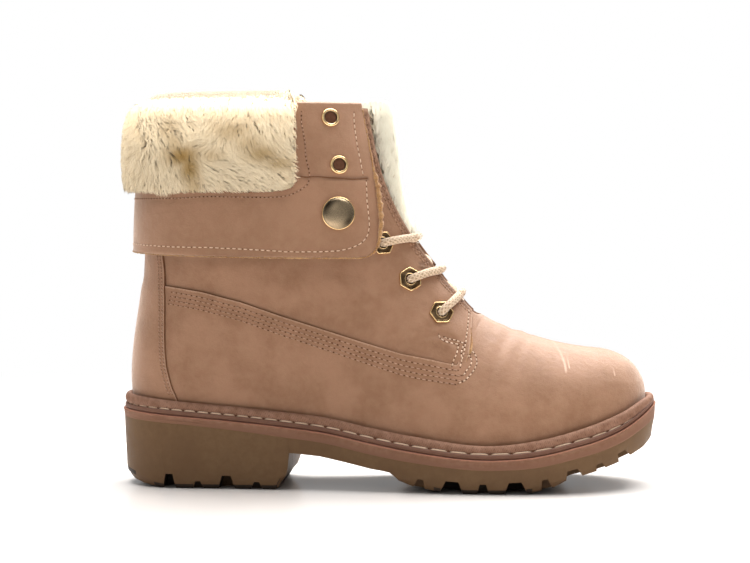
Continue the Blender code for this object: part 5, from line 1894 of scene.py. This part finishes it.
furLook = {
    "strandsASide": 24500,
    "strandsOver": 19000,
    "length": 7.5,
    "width": 0.43,
    "lock": 2.3,  # distance between locks
    "gather": 0.10,  # how far strands lean to the middle of their lock
    "wave": 0.42,
    "flow": [  # x, z, then which way the strands lie there
        (4, 192, -0.8, -0.3), (4, 182, -0.9, -0.2), (4, 168, -0.9, -0.3), (4, 152, -0.7, -0.7),
        (18, 194, 0.5, -0.8), (20, 187, 0.8, -0.4),
        (30, 184, 0.85, -0.45), (25, 175, 0.6, -0.75), (24, 165, 0.45, -0.9), (30, 157, 0.5, -0.85),
        (42, 186, 0.7, -0.6), (54, 184, -0.35, -0.9), (50, 178, -0.85, -0.3), (66, 188, -0.2, -0.8),
        (66, 178, 0.1, -0.6), (76, 186, 0.25, -0.9), (90, 177, 0.4, -0.85), (92, 190, 0.3, -0.9),
        (85, 168, 0.7, -0.6), (92, 162, 0.9, -0.35), (95, 155, 0.8, -0.5), (57, 163, 0.9, -0.15),
        (50, 160, 0.8, -0.3), (66, 160, 0.9, -0.2), (75, 162, 0.8, -0.5), (66, 153, 0.7, -0.5),
        (80, 153, 0.6, -0.4), (45, 153, 0.2, -0.9), (30, 151, 0.0, -1.0), (20, 152, -0.2, -0.9),
        (12, 152, -0.5, -0.8), (12, 170, -0.4, -0.5), (60, 196, 0.15, -0.9), (35, 195, 0.4, -0.8),
        (85, 196, 0.3, -0.9)],
    "hollows": [  # x, z, half length, half height and depth of the hollows where the pile lies flat, tan with painted shade
        (37.5, 168.0, 9.5, 5.4, 1.0), (41.5, 162.0, 5.5, 8.0, 0.95), (43.5, 154.0, 4.6, 7.0, 0.6),
        (63.5, 180.4, 9.5, 5.2, 0.5), (72.0, 174.0, 7.0, 5.0, 0.5), (78.4, 169.0, 9.0, 4.6, 0.72),
        (87.0, 164.5, 7.5, 3.6, 0.62), (53.1, 168.0, 7.0, 3.0, 0.45), (29.7, 181.8, 5.0, 6.0, 0.35),
        (33.0, 174.0, 5.0, 5.0, 0.45)],
    "top": [(-4, 192), (-1, 194.0), (4, 196.2), (13.6, 197.6), (34.3, 199.4), (44.6, 201.4), (60, 203.2),
            (80.5, 203.4), (90.7, 201.0), (94.3, 197.4), (99, 194.5)],
    "front": [(146, 88), (151, 92.5), (153, 96.0), (158.6, 99.0), (163.4, 98.4), (173.8, 97.0), (182.9, 95.0),
              (189.6, 94.8), (194.4, 96.4), (200, 97.5)],
    "bottom": [(-3, 147.6), (13.3, 148.4), (20, 149.0), (24, 145.4), (29, 145.2), (33, 149.0), (47.9, 149.6),
               (66.3, 149.2), (88, 150.6), (93, 152.6), (97, 157.5)],
    "back": [(147, 1.4), (156, -1.4), (172, -2.0), (185.2, -1.5), (195.1, 1.6), (203, 8.0)],
}


def furMaterial(name, look):
    # pale tips, warm roots and tan hollows with painted shade; light passes through, so its outline glows
    material, tree, shader = newMaterial(name, 0.6)
    root, tip = look["root"], look["tip"]
    colour = mixColour(tree, attribute(tree, "tone"), root, tip)
    shade = times(tree, attribute(tree, "shade"), look["contrast"])
    colour = mixColour(tree, shade, colour, tuple(0.72 * c for c in root))
    flecks = useGroup(tree, mottle, Fleck=200.0)["Flecks"]
    colour = mixColour(tree, times(tree, flecks, 0.3), colour, tip)
    # painted shade: the hollows, from the "edge" attribute, turn a darker tan
    colour = mixColour(tree, attribute(tree, "edge"), colour, look["tan"])
    # the coat is shaded as one soft surface, with a share of each single strand
    own = node(tree, "NewGeometry").outputs["Normal"]
    own = node(tree, "VectorMath", {0: own, 3: look["single"]}, operation="SCALE").outputs[0]
    lay = attribute(tree, "lay", "Vector")
    normal = node(tree, "VectorMath", {0: lay, 1: own}, operation="ADD").outputs[0]
    normal = node(tree, "VectorMath", {0: normal}, operation="NORMALIZE").outputs[0]
    setInputs(tree, shader, {
        "Base Color": colour, "Normal": normal, "Sheen Weight": 0.12, "Sheen Roughness": 0.35,
        "Sheen Tint": (1.0, 0.97, 0.9, 1), "Specular IOR Level": 0.15})
    through = node(tree, "BsdfTranslucent", {"Color": colour}).outputs[0]
    mix = node(tree, "MixShader", {0: look["glow"], 1: shader.outputs[0], 2: through}).outputs[0]
    # fine pile lets part of the light past, so the coat below isn't left dark
    passed = times(tree, node(tree, "LightPath").outputs["Is Shadow Ray"], look["passes"])
    clear = node(tree, "BsdfTransparent").outputs[0]
    setSurface(tree, node(tree, "MixShader", {0: passed, 1: mix, 2: clear}).outputs[0])
    return material


def spread(bm, wanted, count):
    # points spread evenly over the wanted faces, with smooth normals
    corners = [[v[0], v[k], v[k + 1]] for v in (face.verts for face in bm.faces if wanted(face))
               for k in range(1, len(v) - 1)]
    corner = np.array([[v.co for v in part] for part in corners])
    normal = np.array([[v.normal for v in part] for part in corners])
    area = np.linalg.norm(np.cross(corner[:, 1] - corner[:, 0], corner[:, 2] - corner[:, 0]), axis=1)
    pick = dice.choice(len(corner), count, p=area / area.sum())
    u, v = dice.random(count), dice.random(count)
    swap = u + v > 1
    u[swap], v[swap] = 1 - u[swap], 1 - v[swap]
    weight = np.stack([1 - u - v, u, v], axis=1)[..., None]
    return (corner[pick] * weight).sum(1), unit((normal[pick] * weight).sum(1))


def onSurface(flow, normal):
    return unit(flow - normal * (flow * normal).sum(1, keepdims=True) + 1e-9)


def flowOver(root, normal, table):
    # direction along the surface at each root: from the table outside, outwards over the fold, down inside
    co = inBoot(root)
    rows = np.array(table, float)
    gap = (co[:, None, 0] - rows[None, :, 0]) ** 2 + (co[:, None, 2] - rows[None, :, 1]) ** 2
    weight = 1 / (gap + 6.0) ** 1.6
    weight /= weight.sum(1, keepdims=True)
    side = np.where(co[:, 1] < 0, lateral, medial)
    level = np.cross(normal, (0, 0, 1.0)) * side[:, None]
    level = unit(level * np.sign(level[:, :1] + 1e-9))
    outside = level * (weight @ rows[:, 2])[:, None] + (0, 0, 1.0) * (weight @ rows[:, 3])[:, None]
    outward = columns(-0.15, side, 0.0)
    top = blendStep(0.35, 0.8, normal[:, 2])[:, None]
    flow = onSurface(unit(outside), normal) * (1 - top) + onSurface(outward, normal) * top
    facingIn = (normal[:, 1] * side < -0.2) & (normal[:, 2] < 0.6)
    flow[facingIn] = (0.1, 0, -1.0)
    return onSurface(flow, normal)


def strands(root, normal, flow, reach, rise, look, droop=0.0, lean=None):
    # tapering ribbons: they rise from the surface, lie over along flow and wave together with their lock
    count = len(root)
    lockAt = look["locks"]
    lock = nearest(root, lockAt)
    turn = dice.normal(0, 0.17, len(lockAt))[lock] + dice.normal(0, 0.12, count)
    reach = reach * dice.uniform(0.93, 1.07, len(lockAt))[lock] * dice.uniform(0.85, 1.12, count)
    rise = rise * dice.uniform(0.92, 1.07, len(lockAt))[lock] * dice.uniform(0.9, 1.1, count)
    phase = dice.uniform(0, 2 * math.pi, len(lockAt))[lock] + dice.normal(0, 0.3, count)
    tone = 0.4 * dice.uniform(0, 1, len(lockAt))[lock] + 0.6 * dice.uniform(0, 1, count) ** 2
    flow = flow * np.cos(turn)[:, None] + np.cross(normal, flow) * np.sin(turn)[:, None]
    across = np.cross(normal, flow)
    gather = lockAt[lock] - root
    gather -= normal * (gather * normal).sum(1, keepdims=True)
    tilt = dice.normal(0, 0.4, count)[:, None]
    steps = np.array([0.0, 0.3, 0.66, 1.0])
    rows = []
    for t in steps:
        out = rise * (1 - (1 - t) ** 2.2) * (1 - 0.30 * t**3)
        along = reach * t**1.3
        swing = look["wave"] * (np.sin(phase + 7.5 * t) - np.sin(phase)) * t**0.5
        spot = (root + (normal * out[:, None] + flow * along[:, None] + across * swing[:, None]) * mm
                + gather * look["gather"] * t**1.5)
        spot[:, 2] -= droop * t**2 * mm
        half = look["width"] / 2 * (1 - t**2.4) * (0.8 + 0.4 * (t < 0.6))
        side = (across * np.cos(tilt) + normal * np.sin(tilt)) * half * mm
        rows += [spot - side, spot + side]
    verts = np.stack(rows[:-1], axis=1)
    perStrand = verts.shape[1]
    base = (np.arange(count) * perStrand)[:, None]
    quads = [base + np.array([k, k + 1, k + 3, k + 2]) for k in range(0, perStrand - 3, 2)]
    tip = base + np.array([perStrand - 3, perStrand - 2, perStrand - 1])
    along = np.tile(np.repeat(steps, 2)[:perStrand], (count, 1)).ravel()
    # the coat's shading turns up towards the fold, and outwards below it
    if lean is None:
        lean = (0.2 + 0.7 * blendStep(174, 192, inBoot(root)[:, 2:])) * (0, 0, 1.0)
    lay = np.repeat(unit(np.maximum(normal, (-1, -1, 0)) + 0.15 * flow + lean), perStrand, axis=0)
    return verts.reshape(-1, 3), [np.concatenate(quads), tip], along, np.repeat(tone, perStrand), lay


def furPiece(name, made, material, hollow=0.0):
    verts, faces, along, strandTone, lay = made
    mesh = meshFromArrays(name, verts, faces)
    values = {"tone": np.clip(0.1 + along, 0, 1), "shade": strandTone, "edge": np.zeros(len(along)) + hollow}
    for label, value in values.items():
        mesh.attributes.new(label, "FLOAT", "POINT").data.foreach_set("value", value.astype(np.float32))
    layer = mesh.attributes.new("lay", "FLOAT_VECTOR", "POINT")
    layer.data.foreach_set("vector", lay.astype(np.float32).ravel())
    addPiece(name, mesh, [material])


def lockPoints(root, spacing):
    # roots thinned out so that no two share a cell
    chosen = root[dice.permutation(len(root))]
    cells = {}
    for co in chosen:
        cells.setdefault(tuple((co / (spacing * mm)).round().astype(int)), co)
    return np.array(list(cells.values()))


def hollowAt(co):
    # how deep the hollows are at some places; they are tan where the pile lies flat, with painted shade
    total = np.zeros(len(co))
    for x, z, half, high, deep in furLook["hollows"]:
        away = ((co[:, 0] - x) / half) ** 2 + ((co[:, 2] - z) / high) ** 2
        total = np.maximum(total, deep * np.exp(-(away**1.2)))
    return total


def trimmed(verts):
    # strands that reach past the fur's outline are bent back to it
    co = inBoot(verts)
    for axis, at, table, keep in (
            (2, 0, "top", 1), (2, 0, "bottom", -1), (0, 2, "front", 1), (0, 2, "back", -1)):
        past = (co[:, axis] - lookUp(furLook[table], co[:, at])) * keep
        if table == "bottom":
            past = past * (np.abs(co[:, 1]) > 30)
        co[:, axis] -= keep * 0.8 * np.maximum(past, 0)
    return place(co)


def shrink(bm, share, most):
    # draws a closed shell's faces in by a share of its thickness
    bm.normal_update()
    tree = BVHTree.FromBMesh(bm)
    thick = []
    for v in bm.verts:
        hit = tree.ray_cast(v.co - v.normal * 0.05 * mm, -v.normal)
        thick.append(min(hit[3] / mm if hit[0] is not None else 3.0, 14.0))
    moveOut(bm, -np.minimum(share * np.array(thick), most))
    bm.normal_update()


def makeCuffFur():
    bm = mergedCopy("cuff_fur")
    inner = joinedFaces(bm, place((60, -46, 170)), 42)
    for face in bm.faces:
        face.material_index = int(face in inner)
    bm = refined(bm, 2)
    bm.normal_update()
    faces = [[v.index for v in face.verts] for face in bm.faces if face.material_index == 1]
    tree = BVHTree.FromPolygons([v.co for v in bm.verts], faces)
    thick = np.array([tree.find_nearest(v.co)[3] for v in bm.verts]) / mm
    moveOut(bm, -0.62 * thick)
    bm.normal_update()
    count = 2 * furLook["strandsASide"] + furLook["strandsOver"]
    root, normal = spread(bm, lambda face: face.material_index == 0, count)
    depth = thick[nearest(root, coordinates(bm))]
    addPiece("furBacking", bm, [furBase, furBase], ["cuff_fur"])
    return root, normal, depth


def plantCuffFur():
    root, normal, depth = makeCuffFur()
    flow = flowOver(root, normal, furLook["flow"])
    look = furLook | {"locks": lockPoints(root, furLook["lock"])}
    co = inBoot(root)
    over = (normal[:, 2] > 0.6) | ((co[:, 2] > 176) & (depth < 4.4))
    near = co[:, 1] < 0
    for name, chosen in (("furLateral", near & ~over), ("furMedial", ~near & ~over), ("furOver", over)):
        x, z, up, deep = co[chosen, 0], co[chosen, 2], normal[chosen, 2], depth[chosen]
        hollow = hollowAt(co[chosen])
        rise = 0.60 * deep * (1 - 0.5 * hollow) + 0.5
        reach = look["length"] * (1 - 0.25 * hollow) * np.clip(deep / 6, 0.45, 1)
        # fuller at the upper back corner and along the lower front edge
        rise += 3.0 * blendStep(22, 6, x) * blendStep(172, 186, z)
        reach *= 1 + 0.35 * blendStep(80, 92, x) * blendStep(176, 160, z)
        reach *= 1 + 0.5 * bell(x - 26.5, 3) * blendStep(160, 154, z)
        # strands that start on the fold bend down over it
        droop = 4.2 * blendStep(0.15, 0.75, up) * dice.uniform(0.5, 1.25, len(x))
        rise *= 1 - 0.35 * blendStep(0.3, 0.8, up)
        made = strands(root[chosen], normal[chosen], flow[chosen], reach, rise, look, droop)
        verts = trimmed(made[0])
        furPiece(name, (verts, *made[1:]), furStrands, hollowAt(inBoot(verts)))
        print(name, len(x))


furStrands = furMaterial("furStrands", {
    "root": (0.97, 0.76, 0.49),
    "tip": (1.0, 0.87, 0.64),
    "tan": (0.47, 0.295, 0.10),
    "glow": 0.18,  # share of the light that comes through from behind
    "single": 0.3,  # how much of each strand's own shape is shaded
    "passes": 0.92,  # share of the light that reaches the pile below
    "contrast": 0.8,  # between light and dark strands
})
plantCuffFur()
print("cuff fur planted")


# fur along the tongue, short fur down the inside, and the footbed

innerLook = {
    "tongueStrands": 11000,
    "tongueLength": 7.0,
    "tongueRise": 3.4,
    "wallStrands": 11000,
    "wallLength": 4.2,
    "wallRise": 2.4,
    "width": 0.48,
    "lock": 2.6,
    "gather": 0.35,
    "wave": 0.35,
}


def makeTongueFur():
    bm = refined(mergedCopy("tongue_fur"), 2)
    shrink(bm, 0.45, 2.8)
    root, normal = spread(bm, lambda face: True, innerLook["tongueStrands"])
    addPiece("tongueFurBacking", bm, [furBase], ["tongue_fur"])
    co = inBoot(root)
    up = columns(0.12, 0.25 * np.sign(co[:, 1]), 1.0)
    reach = innerLook["tongueLength"] * np.clip((195.5 - co[:, 2]) / 6, 0.35, 1)
    look = innerLook | {"locks": lockPoints(root, 1.3 * innerLook["lock"])}
    lean = np.clip(co[:, 1:2] / 8, -1, 1) * (0, 0.9, 0) + (0, 0, 0.15)
    made = strands(root, normal, onSurface(up, normal), reach, innerLook["tongueRise"], look, lean=lean)
    furPiece("tongueFurStrands", made, paleFur)


def makeWallFur():
    # the inside of the shaft, as far down as it can be seen
    wall = bmeshOf(bpy.data.objects["wall"].data)
    middle = Vector(place((80, 0, 150)))
    wall.normal_update()

    def seen(face):
        at = face.calc_center_median()
        return face.material_index == 1 and at.z > 0.105 and face.normal.dot(middle - at) > 0

    root, normal = spread(wall, seen, innerLook["wallStrands"])
    wall.free()
    flow = onSurface(np.tile((0.1, 0.0, -1.0), (len(root), 1)), normal)
    look = innerLook | {"locks": lockPoints(root, innerLook["lock"])}
    made = strands(root, normal, flow, innerLook["wallLength"], innerLook["wallRise"], look)
    furPiece("wallFur", made, furStrands)


def makeFootbed():
    bm = refined(mergedCopy("insole"), 1)
    bm.normal_update()
    co = inBoot(coordinates(bm))
    moveOut(bm, softUneven(co, 18.0, 0.25) * np.array([v.normal.z > 0.5 for v in bm.verts]))
    addPiece("footbed", bm, [footbedCloth], ["insole"])


paleFur = furMaterial("paleFur", {
    "root": (1.0, 0.92, 0.74), "tip": (1.0, 0.96, 0.82), "tan": (0.7, 0.55, 0.35),
    "glow": 0.3, "single": 0.2, "passes": 0.97, "contrast": 0.45})
footbedCloth = plainMix("footbedCloth", {
    "base": (0.62, 0.50, 0.35), "second": (0.72, 0.60, 0.44), "third": (0.54, 0.42, 0.28),
    "roughness": 0.95, "fleck": 420.0, "grain": 2600.0, "relief": 0.8, "depth": 0.0006, "gloss": 0.1,
    "sheen": 0.4})
makeTongueFur()
makeWallFur()
makeFootbed()
print("inner fur and footbed made")
